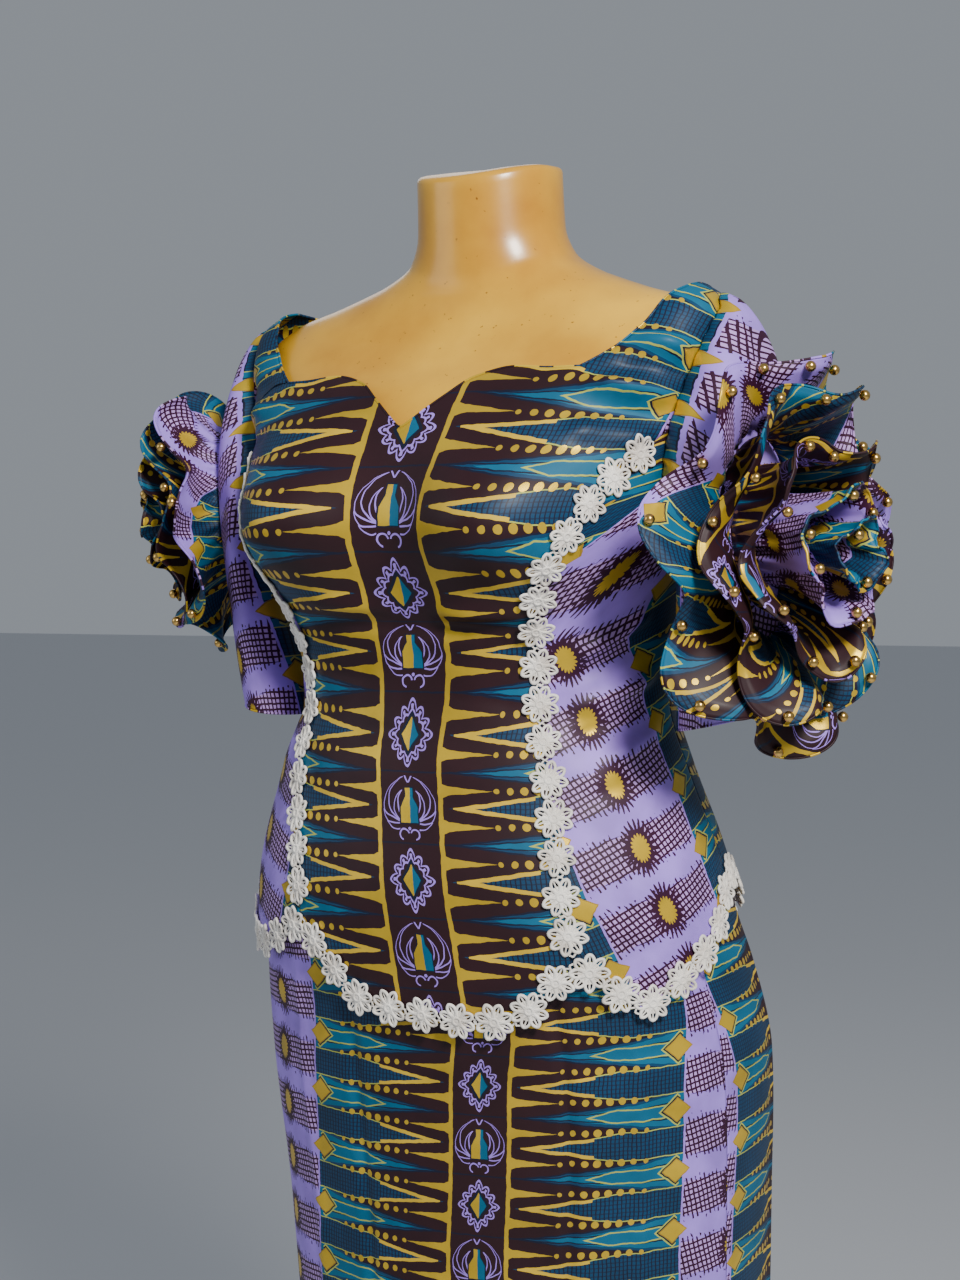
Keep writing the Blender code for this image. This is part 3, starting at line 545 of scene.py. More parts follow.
# Bodice overlay: five panels of the print, fitted by princess seams over the bust and flaring
# below the waist into a hem that rises and dips. Neckline and hem are turned under; the straps
# grow out of the front and back panels and meet on top of each shoulder.
CLOTH = 0.0009
HAIR = 0.00012          # half of the line that shows between two sewn panels
HAIR_TURN = HAIR / 0.11 * 57.3      # the same in degrees, where the figure is 0.11 from its middle
ARM_Z = 1.298           # height of the middle of an armhole
SIDES = ((1, "left"), (-1, "right"))
BODICE_SCALE = 1.14     # the bodice's print against the skirt's
# columns: height, angle of the wearer's left seam, angle of the right seam
PRINCESS = np.array([
    (0.880, 40.0, -25.0), (0.937, 40.0, -26.0), (0.971, 39.5, -27.5), (1.000, 39.5, -31.0),
    (1.036, 40.0, -37.0), (1.073, 39.5, -42.0), (1.108, 38.5, -44.0), (1.151, 37.5, -45.0),
    (1.173, 39.0, -45.5), (1.201, 44.0, -48.0), (1.229, 51.0, -52.0), (1.255, 56.0, -57.0),
    (1.273, 61.5, -62.0), (1.286, 67.0, -67.0), (1.298, 73.0, -73.0),
])
# columns: angle, height
HEM = np.array([
    (-180.0, 0.900), (-160.0, 0.904), (-135.0, 0.926), (-116.0, 0.958), (-100.0, 0.970),
    (-82.0, 0.956), (-64.0, 0.930), (-49.0, 0.915), (-36.0, 0.926), (-26.0, 0.940),
    (-17.0, 0.920), (-8.0, 0.892), (4.0, 0.885), (16.0, 0.882), (25.0, 0.885),
    (33.0, 0.905), (40.0, 0.921), (47.0, 0.912), (55.0, 0.890), (64.0, 0.900),
    (76.0, 0.917), (88.0, 0.940), (100.0, 0.968), (116.0, 0.958), (135.0, 0.926),
    (160.0, 0.904), (180.0, 0.900),
])
# columns: share of the half width, angle, height
NECK_FRONT = np.array([
    (0.00, 0.0, 1.306), (0.12, 6.5, 1.333), (0.24, 12.0, 1.352), (0.38, 19.5, 1.360),
    (0.55, 29.5, 1.354), (0.72, 42.0, 1.350), (1.00, 73.0, 1.298),
])
# columns: share from the side to the middle, angle, height
NECK_BACK = np.array([
    (0.00, 90.0, 1.2340), (0.13, 101.0, 1.2500), (0.28, 107.0, 1.2980), (0.56, 138.0, 1.3530),
    (0.78, 159.0, 1.3500), (1.00, 180.0, 1.3480),
])
# columns: share from chest to shoulder, neck edge angle and height, armhole edge angle and height
STRAP = np.array([
    (0.00, 42.0, 1.3500, 73.0, 1.2980), (0.25, 52.0, 1.3755, 74.3, 1.3303),
    (0.50, 64.0, 1.3885, 78.0, 1.3575), (0.75, 77.0, 1.3925, 83.5, 1.3756),
    (1.00, 89.9, 1.3945, 89.9, 1.3820),
])
# columns: height, angle of the middle of the printed stripe
STRIPE = np.array([
    (0.885, 7.0), (0.940, 6.0), (0.980, 4.5), (1.036, 2.5), (1.085, 0.8), (1.150, 1.5), (1.304, 1.5),
])
# columns: height, how much the print is drawn in sideways over the bust
DRAWN = np.array([(1.130, 1.00), (1.200, 0.93), (1.255, 0.88), (1.310, 0.855), (1.350, 0.81),
                  (1.400, 0.75)])
# Soft troughs and ridges of the worn cloth. columns: angle and height of one end, angle and
# height of the other, depth (minus is a trough), half width
CREASES = np.array([
    (-44.0, 1.166, 36.0, 1.160, -0.0030, 0.0062),
    (-34.0, 1.180, 6.0, 1.176, 0.0030, 0.0064),
    (4.0, 1.176, 42.0, 1.170, 0.0058, 0.0066),
    (-2.0, 1.150, 34.0, 1.144, 0.0016, 0.0050),
    (24.0, 1.150, 38.0, 1.136, -0.0012, 0.0050),
    (-40.0, 1.128, -8.0, 1.122, -0.0012, 0.0060),
    (8.0, 1.112, 36.0, 1.104, -0.0011, 0.0065),
    (-36.0, 1.088, 4.0, 1.083, -0.0010, 0.0060),
    (42.0, 1.118, 84.0, 1.150, -0.0036, 0.0062),
    (43.0, 1.133, 80.0, 1.169, 0.0046, 0.0056),
    (46.0, 1.098, 88.0, 1.124, 0.0050, 0.0060),
    (44.0, 1.076, 82.0, 1.100, -0.0017, 0.0052),
    (54.0, 1.060, 87.0, 1.082, 0.0040, 0.0062),
    (46.0, 1.034, 78.0, 1.056, -0.0015, 0.0062),
    (-46.0, 1.115, -86.0, 1.146, -0.0022, 0.0065),
    (-48.0, 1.084, -84.0, 1.100, -0.0015, 0.0065),
    (46.0, 0.940, 66.0, 0.926, -0.0022, 0.0080),
    (58.0, 0.965, 84.0, 0.985, 0.0014, 0.0100),
    (47.0, 1.368, 77.0, 1.348, 0.0074, 0.0058),
    (43.0, 1.351, 77.0, 1.334, -0.0032, 0.0050),
    (36.0, 1.336, 76.0, 1.319, 0.0088, 0.0060),
    (34.0, 1.318, 75.0, 1.305, -0.0032, 0.0055),
    (38.0, 1.300, 68.0, 1.289, 0.0052, 0.0062),
    (-40.0, 1.330, -76.0, 1.316, 0.0040, 0.0068),
    (-44.0, 1.350, -79.0, 1.338, -0.0026, 0.0060),
    (-38.0, 1.306, -70.0, 1.298, -0.0022, 0.0065),
    (118.0, 1.110, 168.0, 1.118, -0.0020, 0.0070),
    (-118.0, 1.096, -160.0, 1.108, -0.0020, 0.0070),
    (126.0, 1.150, 150.0, 1.142, 0.0016, 0.0080),
    (-130.0, 1.158, -152.0, 1.146, 0.0014, 0.0080),
])
METRES_A_DEGREE = 0.0029    # along the bodice's cloth


def creased(ang, h, table):
    """How far the creases push the cloth out. Each fades to nothing at its two ends."""
    total = np.zeros_like(ang)
    for a0, h0, a1, h1, depth, half in table:
        along = ((a1 - a0) * METRES_A_DEGREE, h1 - h0)
        span = math.hypot(*along)
        x = (ang - a0) * METRES_A_DEGREE
        y = h - h0
        t = (x * along[0] + y * along[1]) / span**2
        d = np.abs(x * along[1] - y * along[0]) / span
        shape = np.exp(-(d / half)**2)
        total += depth * shape * ease(t / 0.3) * ease((1 - t) / 0.3) * (1 + 0.3 * np.sin(9 * t + a0))
    return total


def flare(h):
    """How far the overlay stands off below the waist."""
    return 0.0060 * ease((1.06 - np.asarray(h, float)) / 0.14)


def lift(ang, h):
    """Stand-off of the strap where it crosses the top of the shoulder."""
    side = np.abs((np.asarray(ang, float) + 180) % 360 - 180)
    return 0.009 * ease((side - 46) / 24) * ease((134 - side) / 24) * ease((np.asarray(h) - 1.32) / 0.06)


def princess(h, side):
    return curve(h, PRINCESS, 1 if side > 0 else 2)


def side_seam(h):
    return 90.0 + 10.0 * np.clip((1.234 - np.asarray(h, float)) / 0.27, 0, 1)


def hem(ang):
    return curve(ang, HEM)


def meet(edge):
    """Angle and height where a seam comes down on the hem."""
    h = 0.93
    for _ in range(30):
        h = float(hem(edge(h)))
    return float(edge(h)), h


def panel(lo, hi, top, s, t):
    """Angle and height on a panel between the seams lo and hi, s across it and t up it."""
    a0, _ = meet(lo)
    a1, _ = meet(hi)
    ta, th = top(s)
    low = hem(a0 + (a1 - a0) * s)
    share = (ta - lo(th)) / (hi(th) - lo(th))
    h = low + (th - low) * t
    f = s + (share - s) * t**3
    # the seam's gap is left along the outermost fortieth of each side
    gap = np.sign(a1 - a0) * HAIR_TURN
    a = lo(h) + (hi(h) - lo(h)) * f + gap * np.clip(1 - s * 40, 0, 1) - gap * np.clip(s * 40 - 39, 0, 1)
    return a, h


def girth(start, ang, h, steps=14):
    """Length along the cloth at one height from one angle to another."""
    k = np.linspace(0, 1, steps + 1)[:, None]
    p = figure(start + (ang - start) * k, h + 0 * k)
    return np.linalg.norm(np.diff(p, axis=0), axis=-1).sum(axis=0) * np.sign(ang - start)


def pulled(ang, h):
    """The bodice's creases, which end below the top of the shoulder."""
    return creased(ang, h, CREASES) * ease((1.385 - h) / 0.02)


def worn(ang, h):
    """Point of the bodice cloth."""
    return skin(ang, h, flare(h) + lift(ang, h) + pulled(ang, h))[0]


LOTUS_AT = 1.032        # height of a medallion on the bodice's stripe
# columns: level, row of the print that lies there. The cloth is drawn up over the bust.
ROWS = np.array([
    (0.877, -6.0), (0.929, -4.0), (0.981, -2.0), (1.032, 0.0), (1.083, 2.0), (1.143, 4.0), (1.187, 6.0),
    (1.249, 8.0), (1.304, 10.0), (1.3285, 11.0), (1.3505, 12.0), (1.372, 13.0), (1.396, 14.0),
    (1.418, 15.0), (1.440, 16.0), (1.462, 17.0),
])


def row_at(x, y, z):
    """Place along the print's stripe. Its rows run level and dip a little towards the armholes."""
    level = z + ease((z - 1.20) / 0.12) * 0.10 * np.maximum(np.abs(x) - 0.055, 0) + 0.30 * np.maximum(
        y + 0.055, 0) * ease((z - 1.28) / 0.05)
    level = level + 0.12 * ease((z - 1.315) / 0.03) * (np.abs(x) - 0.165) * ease((np.abs(x) - 0.10) / 0.03)
    return curve(level, ROWS) * PITCH


def front_chart(ang, h):
    """The print on the front: its stripe runs down the middle of the bodice."""
    across = girth(curve(h, STRIPE), ang, h) * curve(h, DRAWN)
    middle = 0.17 * np.maximum(1 - np.abs(across) / 0.16, 0) * ease((h - 1.05) / 0.12)
    return np.stack([across * (1 - middle) / BODICE_SCALE, row_at(*figure(ang, h).T)], -1)


SIDE_TURN = math.radians(17)
SIDE_SHIFT = 0.351 - HALF


def side_chart(side):
    """The side panels are cut aslant, so that their lilac ground and sunbursts lean outwards."""
    def chart(ang, h):
        across = side * girth(princess(h, side), ang, h)
        over_bust = np.maximum(h - 1.150, 0)
        u = math.cos(SIDE_TURN) * across + math.sin(SIDE_TURN) * h - SIDE_SHIFT - 1.15 * over_bust
        v = math.cos(SIDE_TURN) * (h - 1.044) - math.sin(SIDE_TURN) * (across - 0.041)
        return np.stack([u, v / 1.03], -1)
    return chart


def back_chart(ang, h):
    """The print on the back hangs straight from the centre seam."""
    across = girth(180 * np.sign(ang), ang, h)
    return np.stack([across * np.sign(ang) + 0.100, h - LOTUS_AT], -1) / BODICE_SCALE


def sewn(piece, node_name):
    """Gives a sheet its thickness and its place in the part."""
    wall = piece.modifiers.new("thickness", "SOLIDIFY")
    wall.thickness = CLOTH
    wall.offset = 0
    fitted(piece, print_cloth, node_name)


def joined(name, parts):
    """Welds several sheets into one piece."""
    bm = bmesh.new()
    for part in parts:
        mesh = part.data
        bm.from_mesh(mesh)
        bpy.data.objects.remove(part, do_unlink=True)
        bpy.data.meshes.remove(mesh)
    bmesh.ops.remove_doubles(bm, verts=bm.verts, dist=WELD)
    return linked(bm, name)


def bodice_piece(name, cols, rows, spot, chart):
    """spot gives angle and height for (s, t)."""
    return woven(name, cols, rows, lambda s, t: worn(*spot(s, t)), lambda s, t: chart(*spot(s, t)))


def neck_front(s):
    """The sweetheart neckline and the straps' roots, from right to left."""
    w = 2 * s - 1
    return np.sign(w) * curve(np.abs(w), NECK_FRONT), curve(np.abs(w), NECK_FRONT, 2)


def front_spot(s, t):
    return panel(lambda h: princess(h, -1), lambda h: princess(h, 1), neck_front, s, t)


STRAP_FROM = 10 / 12    # share of the front panel's top from which the strap grows
BACK_NECK = 0.56        # shares of the back panel's top between which its half of the strap grows
BACK_ARM = 0.28
STRAP_JOIN = 0.2        # share of a strap's length over which it leaves its panel


def strap_spot(side, back):
    """s runs across the strap from the neck to the armhole, t from the chest to the shoulder."""
    def spot(s, t):
        if back:
            root = BACK_NECK + (BACK_ARM - BACK_NECK) * s
            ra, rh = 180 - curve(root, NECK_BACK), curve(root, NECK_BACK, 2)
        else:
            ra, rh = neck_front(STRAP_FROM + (1 - STRAP_FROM) * s)
        na, nh, aa, ah = [curve(np.maximum(t, STRAP_JOIN), STRAP, k) for k in (1, 2, 3, 4)]
        k = np.clip(t / STRAP_JOIN, 0, 1)
        a = ra + (na + (aa - na) * s - ra) * k
        h = rh + (nh + (ah - nh) * s - rh) * k
        return side * (180 - a if back else a), h
    return spot


front = [bodice_piece("front", 96, 120, front_spot, front_chart)]
for side in (1, -1):
    front.append(bodice_piece("strap", 16, 40, strap_spot(side, False), front_chart))
sewn(joined("bodice_front_centre_panel", front), "bodice_front_centre")


def armhole(side):
    """The armhole's front edge, from the princess seam down to the side seam."""
    def top(s):
        t = np.radians(90 + 90 * s)
        return side * (90 - 17 * np.sin(t)), ARM_Z + 0.064 * np.cos(t)
    return top


for side, word in SIDES:
    def spot(s, t, side=side):
        return panel(lambda h: princess(h, side), lambda h: side * side_seam(h), armhole(side), s, t)
    piece = bodice_piece("bodice_front_side_" + word + "_panel", 48, 110, spot, side_chart(side))
    sewn(piece, "bodice_front_side_" + word)


def back_top(side):
    """The back's top edge, from the side seam to the middle."""
    def top(s):
        return side * curve(s, NECK_BACK), curve(s, NECK_BACK, 2)
    return top


# Shares of the panel's top at which its evenly spaced stretches of mesh end.
BACK_KNOTS = np.array([0.0, 0.13, 0.28, 0.42, 0.56, 0.70, 0.85, 1.0])

for side, word in SIDES:
    def spot(s, t, side=side):
        knots = np.interp(s, np.linspace(0, 1, 8), BACK_KNOTS)
        a0, _ = meet(lambda h: side * side_seam(h))
        low = hem(a0 + (side * 180.0 - a0) * s)
        ta, th = back_top(side)(knots)
        lo = side * side_seam(th)
        share = (ta - lo) / (side * 180.0 - lo)
        h = low + (th - low) * t
        f = s + (share - s) * t**3
        edge = side * side_seam(h)
        return edge + (side * (180.0 - HAIR_TURN) - edge) * f, h
    pieces = [bodice_piece("back", 70, 110, spot, back_chart),
              bodice_piece("strap", 20, 30, strap_spot(side, True), back_chart)]
    sewn(joined("bodice_back_" + word + "_panel", pieces), "bodice_back_" + word)


# Skirt: one straight front and one straight back, sewn at the sides and hanging from the waist
# under the overlay. It was stored folded, so faint pressed lines still run down it.
SKIRT_TOP = 1.086
SKIRT_HEM = 0.060
SKIRT_SIDE = 79.0       # angle of the side seams
SKIRT_LOTUS_AT = 0.786  # height of a medallion on the skirt's stripe
SKIRT_METRES_A_DEGREE = 0.0031
SKIRT_HAIR = HAIR / 0.19 * 57.3     # the seams' gap in degrees, where the skirt is 0.19 from its middle
# columns: height, angle of the middle of the skirt's stripe
SKIRT_STRIPE = np.array([(0.060, 12.0), (0.698, 12.3), (0.739, 13.0), (0.786, 13.8), (0.828, 14.6),
                         (0.881, 17.0), (1.086, 17.0)])
# columns: angle at the top, angle at the hem, height of the fold (minus is a valley), half width
PRESSED = np.array([
    (35.0, 31.0, -0.0026, 0.008), (52.5, 50.0, 0.0020, 0.010), (-12.5, -13.5, -0.0028, 0.008),
    (-31.0, -30.0, 0.0020, 0.010), (112.0, 112.0, 0.0022, 0.010), (150.0, 149.0, -0.0022, 0.009),
    (205.0, 206.0, 0.0022, 0.010), (246.0, 246.0, -0.0020, 0.009),
])
SKIRT_CREASES = np.array([
    (-60.0, 0.872, -20.0, 0.852, -0.0016, 0.0080),
    (30.0, 0.846, 68.0, 0.858, -0.0014, 0.0080),
    (20.0, 0.742, 62.0, 0.752, -0.0010, 0.0070),
    (-40.0, 0.700, -4.0, 0.712, -0.0010, 0.0070),
    (40.0, 0.560, 70.0, 0.600, -0.0014, 0.0100),
    (-66.0, 0.520, -30.0, 0.560, -0.0014, 0.0100),
    (110.0, 0.840, 160.0, 0.850, -0.0016, 0.0090),
    (200.0, 0.850, 250.0, 0.838, -0.0016, 0.0090),
    (120.0, 0.600, 150.0, 0.640, -0.0012, 0.0100),
    (210.0, 0.420, 244.0, 0.470, -0.0012, 0.0100),
])


def hanging(ang, h):
    """Point of the skirt cloth: close under the overlay, with nine soft folds that grow downwards."""
    out = -0.0037 * ease((h - 0.86) / 0.20)
    fold = 0.0045 * np.clip((0.80 - h) / 0.50, 0, 1) * np.cos(np.radians(ang) * 9 + 0.6)
    for top, foot, height, half in PRESSED:
        at = top + (foot - top) * (SKIRT_TOP - h) / (SKIRT_TOP - SKIRT_HEM)
        d = np.abs(ang - at) * SKIRT_METRES_A_DEGREE
        fold = fold + height * np.clip(1 - d / half, 0, 1) * ease((0.93 - h) / 0.04)
    fold = fold + creased(ang, h, SKIRT_CREASES)
    return skin(ang, h, out + fold)[0]


def skirt_front_chart(ang, h):
    across = girth(curve(h, SKIRT_STRIPE), ang, h)
    return np.stack([across, h - SKIRT_LOTUS_AT], -1)


SKIRT_BACK_HALF = girth(np.array([SKIRT_SIDE]), np.array([180.0]), np.array([0.5]), 30)[0]


def skirt_back_chart(ang, h):
    """The back's print hangs straight from its middle."""
    across = girth(np.full_like(ang, 180.0), ang, h, 20)
    return np.stack([0.150 - SKIRT_BACK_HALF - across, h - SKIRT_LOTUS_AT - 0.009], -1)


for word, lo, hi, chart, cols in (("front", -SKIRT_SIDE, SKIRT_SIDE, skirt_front_chart, 200),
                                  ("back", SKIRT_SIDE, 360 - SKIRT_SIDE, skirt_back_chart, 240)):
    def spot(s, t, lo=lo + SKIRT_HAIR, wide=hi - lo - 2 * SKIRT_HAIR):
        return lo + wide * s, SKIRT_HEM + (SKIRT_TOP - SKIRT_HEM) * t
    piece = woven("skirt_" + word + "_panel", cols, 150, lambda s, t: hanging(*spot(s, t)),
                  lambda s, t: chart(*spot(s, t)))
    sewn(piece, "skirt_" + word)


# Sleeves: a loose open tube of the print from the armhole over the shoulder to a narrow hem. It
# is eased into the armhole with small pleats that fade out along it.
# columns: middle of the hem in x, half width of the hem, half depth of the hem
CUFF = {1: (0.206, 0.033, 0.076), -1: (0.186, 0.027, 0.064)}
CUFF_Z = 1.088
SLEEVE_OUT = 0.0021     # how far the armhole seam stands off the figure


def sleeve_point(t, s, side):
    """t goes round from the top (0) by the front (90) to the underarm (180), s from armhole to hem."""
    r = np.radians(t)
    c = np.cos(r)
    f = np.sin(r)
    middle, half, deep = CUFF[side]
    ang = 90 - 17.8 * f
    h = ARM_Z + np.where(c > 0, 0.0870, 0.0665) * c
    start, _ = skin(ang, h, SLEEVE_OUT + lift(ang, h))
    lean = np.stack([0.030 + 0.006 * c, -0.030 * f, -0.012 + 0.016 * c], -1)
    end = np.stack([middle + half * c, 0.006 - deep * f, CUFF_Z + 0.006 * c], -1)
    pull = np.stack([0.010 + 0.012 * c, -0.006 * f, 0.090 + 0.060 * c], -1)
    s = s[..., None]
    p = ((1 - s)**3 * start + 3 * (1 - s)**2 * s * (start + lean)
         + 3 * (1 - s) * s**2 * (end + pull) + s**3 * end)
    return p * np.array([side, 1, 1])


def sleeve_place(side):
    """The sleeve's cloth, with its pleats at the armhole and softer folds along it."""
    def place(s, t):
        turn = s * 360 - 180
        p = sleeve_point(turn, t, side)
        e = 0.5
        du = sleeve_point(turn + e, t, side) - sleeve_point(turn - e, t, side)
        dv = (sleeve_point(turn, np.clip(t + 0.004, 0, 1), side)
              - sleeve_point(turn, np.clip(t - 0.004, 0, 1), side))
        n = unit(np.cross(du, dv))
        n = n * np.where(((p - np.array([0.190 * side, 0, 1.2])) * n).sum(-1, keepdims=True) < 0, -1, 1)
        pleat = 0.0006 * np.sin(np.radians(turn) * 34) * np.exp(-t * 9)
        soft = 0.0012 * np.sin(np.radians(turn) * 7 + 5 * t + side) * np.sin(np.pi * np.clip(t * 1.1, 0, 1))
        return p + n * (pleat + soft)[:, None]
    return place


def sleeve_chart(side):
    """The print runs on from the strap: its rows stay level down the sleeve, and its lilac ground
    lies on the front."""
    round_hem = math.pi * math.hypot(CUFF[side][1], CUFF[side][2]) * math.sqrt(2)
    edge = 120 if side > 0 else 152

    def chart(s, t):
        turn = s * 360 - 180
        top = sleeve_point(turn, 0 * t, side)
        here = sleeve_point(turn, t, side)
        u = 0.150 + (edge - turn) / 360 * round_hem * t**1.5
        return np.stack([u, row_at(*top.T) - (top[:, 2] - here[:, 2]) / BODICE_SCALE], -1)
    return chart


for side, word in SIDES:
    piece = woven("sleeve_" + word + "_tube", 140, 60, sleeve_place(side), sleeve_chart(side),
                  weld=WELD)
    sewn(piece, "sleeve_" + word)


# Turned edges: the neckline, the bodice's hem, both sleeve hems and the skirt's hem are turned
# under narrowly, which shows as a soft round edge in the same print.
def tubed(path, radius):
    """Places for a cord: s runs along path, t round it. path gives points for s from 0 to 1."""
    def place(s, t):
        e = 0.002
        p = path(s)
        ahead = unit(path(s + e) - path(s - e))
        side = unit(np.cross(ahead, np.array([0.0, 0.0, 1.0])))
        over = np.cross(side, ahead)
        turn = 2 * math.pi * t[:, None]
        return p + radius * (np.cos(turn) * side + np.sin(turn) * over)
    return place


def lengths(points):
    """Distance along a run of points from its first."""
    return np.concatenate([[0], np.cumsum(np.linalg.norm(np.diff(points, axis=0), axis=-1))])


def turned(parts):
    """A closed turned edge. parts are runs of its points, each with the print's place at them."""
    points = np.concatenate([p for p, _ in parts] + [parts[0][0][:1]])
    prints = np.concatenate([c for _, c in parts] + [parts[0][1][:1]])
    dist = lengths(points)

    def at(table, s):
        return np.stack([np.interp(np.mod(s, 1.0) * dist[-1], dist, column) for column in table.T], -1)
    return woven("turned", int(dist[-1] / 0.004), 6, tubed(lambda s: at(points, s), 0.0010),
                 lambda s, t: at(prints, s), weld=WELD)


def bodice_run(spot, chart):
    ang, h = spot
    return worn(ang, h), chart(ang, h)


up = np.linspace(0, 1, 50)
over_back = np.linspace(BACK_NECK, 1, 40)
over_front = 1 - STRAP_FROM + (2 * STRAP_FROM - 1) * np.linspace(0, 1, 160)
neckline = [bodice_run(*run) for run in (
    (neck_front(over_front), front_chart), (strap_spot(1, False)(0 * up, up), front_chart),
    (strap_spot(1, True)(0 * up, up[::-1]), back_chart), (back_top(1)(over_back), back_chart),
    (back_top(-1)(over_back[::-1]), back_chart), (strap_spot(-1, True)(0 * up, up), back_chart),
    (strap_spot(-1, False)(0 * up, up[::-1]), front_chart))]
seams = [meet(lambda h: princess(h, -1))[0], meet(lambda h: princess(h, 1))[0], meet(side_seam)[0]]
low_edge = []
for start, stop, chart in ((seams[0], seams[1], front_chart), (seams[1], seams[2], side_chart(1)),
                           (seams[2], 180.0, back_chart), (-180.0, -seams[2], back_chart),
                           (-seams[2], seams[0], side_chart(-1))):
    ang = np.linspace(start, stop, 120)
    low_edge.append(bodice_run((ang, hem(ang)), chart))
full = np.linspace(0, 1, 120)[:-1]
cuffs = [turned([(sleeve_place(side)(full, 1 + 0 * full), sleeve_chart(side)(full, 1 + 0 * full))])
         for side in (1, -1)]
foot = []
for start, stop, chart in ((-SKIRT_SIDE, SKIRT_SIDE, skirt_front_chart),
                           (SKIRT_SIDE, 360 - SKIRT_SIDE, skirt_back_chart)):
    ang = np.linspace(start, stop, 200)[:-1]
    foot.append((hanging(ang, 0 * ang + SKIRT_HEM), chart(ang, 0 * ang + SKIRT_HEM)))
edges = joined("turned_edges", [turned(neckline), turned(low_edge), turned(foot)] + cuffs)
fitted(edges, print_cloth)


# Roses: five nested ruffles on each sleeve, cut from bias strips of the print, gathered along
# the root in small pleats, sewn to the sleeve and turned under along the rolled outer edge.
# columns: root half width, root half height, edge half width, edge half height, rise at the root,
# rise at the edge, waves, wave in radius, wave in rise, phase
RUFFLES = np.array([
    (0.043, 0.078, 0.106, 0.136, 0.004, 0.036, 7, 0.012, 0.014, 0.4),
    (0.040, 0.070, 0.082, 0.114, 0.005, 0.058, 6, 0.010, 0.012, 1.5),
    (0.029, 0.050, 0.064, 0.074, 0.006, 0.070, 5, 0.008, 0.010, 2.7),
    (0.017, 0.030, 0.038, 0.041, 0.006, 0.084, 4, 0.004, 0.006, 0.9),
    (0.007, 0.012, 0.018, 0.020, 0.006, 0.093, 3, 0.003, 0.004, 2.0),
])
ROOT_OUT = (0.0016, 0.0014, 0.0012, 0.0012, 0.0009)     # from the sleeve's face to each gathered root
RUFFLE_MESH = ((280, 34), (240, 32), (180, 26), (110, 20), (70, 16))
FALL = 0.058            # how far the sleeve's rounded face can fall away beside the rose
# columns: origin x, y, z, turn to the front in degrees, size, then the sleeve's rounded face under
# the rose: its height, its middle across and up, its curve across and up
ROSE = {1: (0.2365, -0.030, 1.219, 19.0, 1.00, 0.0090, 0.004, -0.030, 4.2, 0.60),
        -1: (0.2240, -0.020, 1.247, 16.0, 0.75, 0.0060, 0.008, 0.020, 4.3, 0.70)}


def rose_point(side, row, al, s):
    """al goes round the rose, s from the gathered root to the free edge."""
    ox, oy, oz, turn, size, dome, mid, mid_up, bow, bow_up = ROSE[side]
    root_w, root_h, edge_w, edge_h, root_rise, edge_rise, waves, wave_r, wave_up, phase = row
    k = s ** 1.35
    ripple = np.sin(waves * al + phase) + 0.35 * np.sin((waves + 2) * al + 2 * phase)
    q = s**1.6
    half_w = (root_w + (edge_w - root_w) * k + wave_r * q * ripple) * size
    half_h = (root_h + (edge_h - root_h) * k + wave_r * q * ripple) * size
    rise = (root_rise + (edge_rise - root_rise) * s**0.8) * size
    rise = rise + wave_up * q * np.cos(waves * al + phase) * size
    e1 = half_w * np.cos(al) - 0.14 * root_w * size * (1 - s)
    e2 = half_h * np.sin(al)
    rise = rise + dome - FALL * (1 - np.exp(-bow / FALL * (e1 - mid)**2))
    rise = rise - bow_up * (e2 - mid_up)**2 + 0.020 * s * np.maximum(e2, 0) / 0.13
    e2 = e2 - 0.010 * s * size
    a = math.radians(turn)
    axis = np.array([math.cos(a), -math.sin(a), 0.0])
    fore = np.array([-math.sin(a), -math.cos(a), 0.0])
    tall = np.array([0.0, 0.0, 1.0])
    return np.array([ox, oy, oz]) + e1[..., None] * fore + e2[..., None] * tall + rise[..., None] * axis


def seat(side, root, clear):
    """Nearest places for a ruffle's gathered root just clear of the sleeve's outer face."""
    turn = math.radians(ROSE[side][3])
    flat = np.array([[-math.sin(turn), -math.cos(turn), 0.0], [0.0, 0.0, 1.0]])
    mirror = np.array([side, 1, 1])
    tt, ss = np.meshgrid(np.linspace(-115, 115, 116), np.linspace(0.02, 0.98, 97))
    tt = tt.ravel()
    ss = ss.ravel()
    face = sleeve_point(tt, ss, side) * mirror
    seen = face @ flat.T
    want = root @ flat.T
    k = np.array([int(np.argmin(((seen - w)**2).sum(axis=1))) for w in want])
    t = tt[k]
    s = ss[k]
    here = face[k]
    du = sleeve_point(t + 0.5, s, side) * mirror - here
    dv = sleeve_point(t, s + 0.005, side) * mirror - here
    n = unit(np.cross(du, dv))
    n = n * np.where(n[:, :1] > 0, 1, -1)
    a, b = (du @ flat.T).T, (dv @ flat.T).T
    r = (want - here @ flat.T).T
    cross = a[0] * b[1] - a[1] * b[0]
    p = np.clip((r[0] * b[1] - r[1] * b[0]) / cross, -2, 2)
    q = np.clip((a[0] * r[1] - a[1] * r[0]) / cross, -2, 2)
    return here + du * p[:, None] + dv * q[:, None] + n * clear


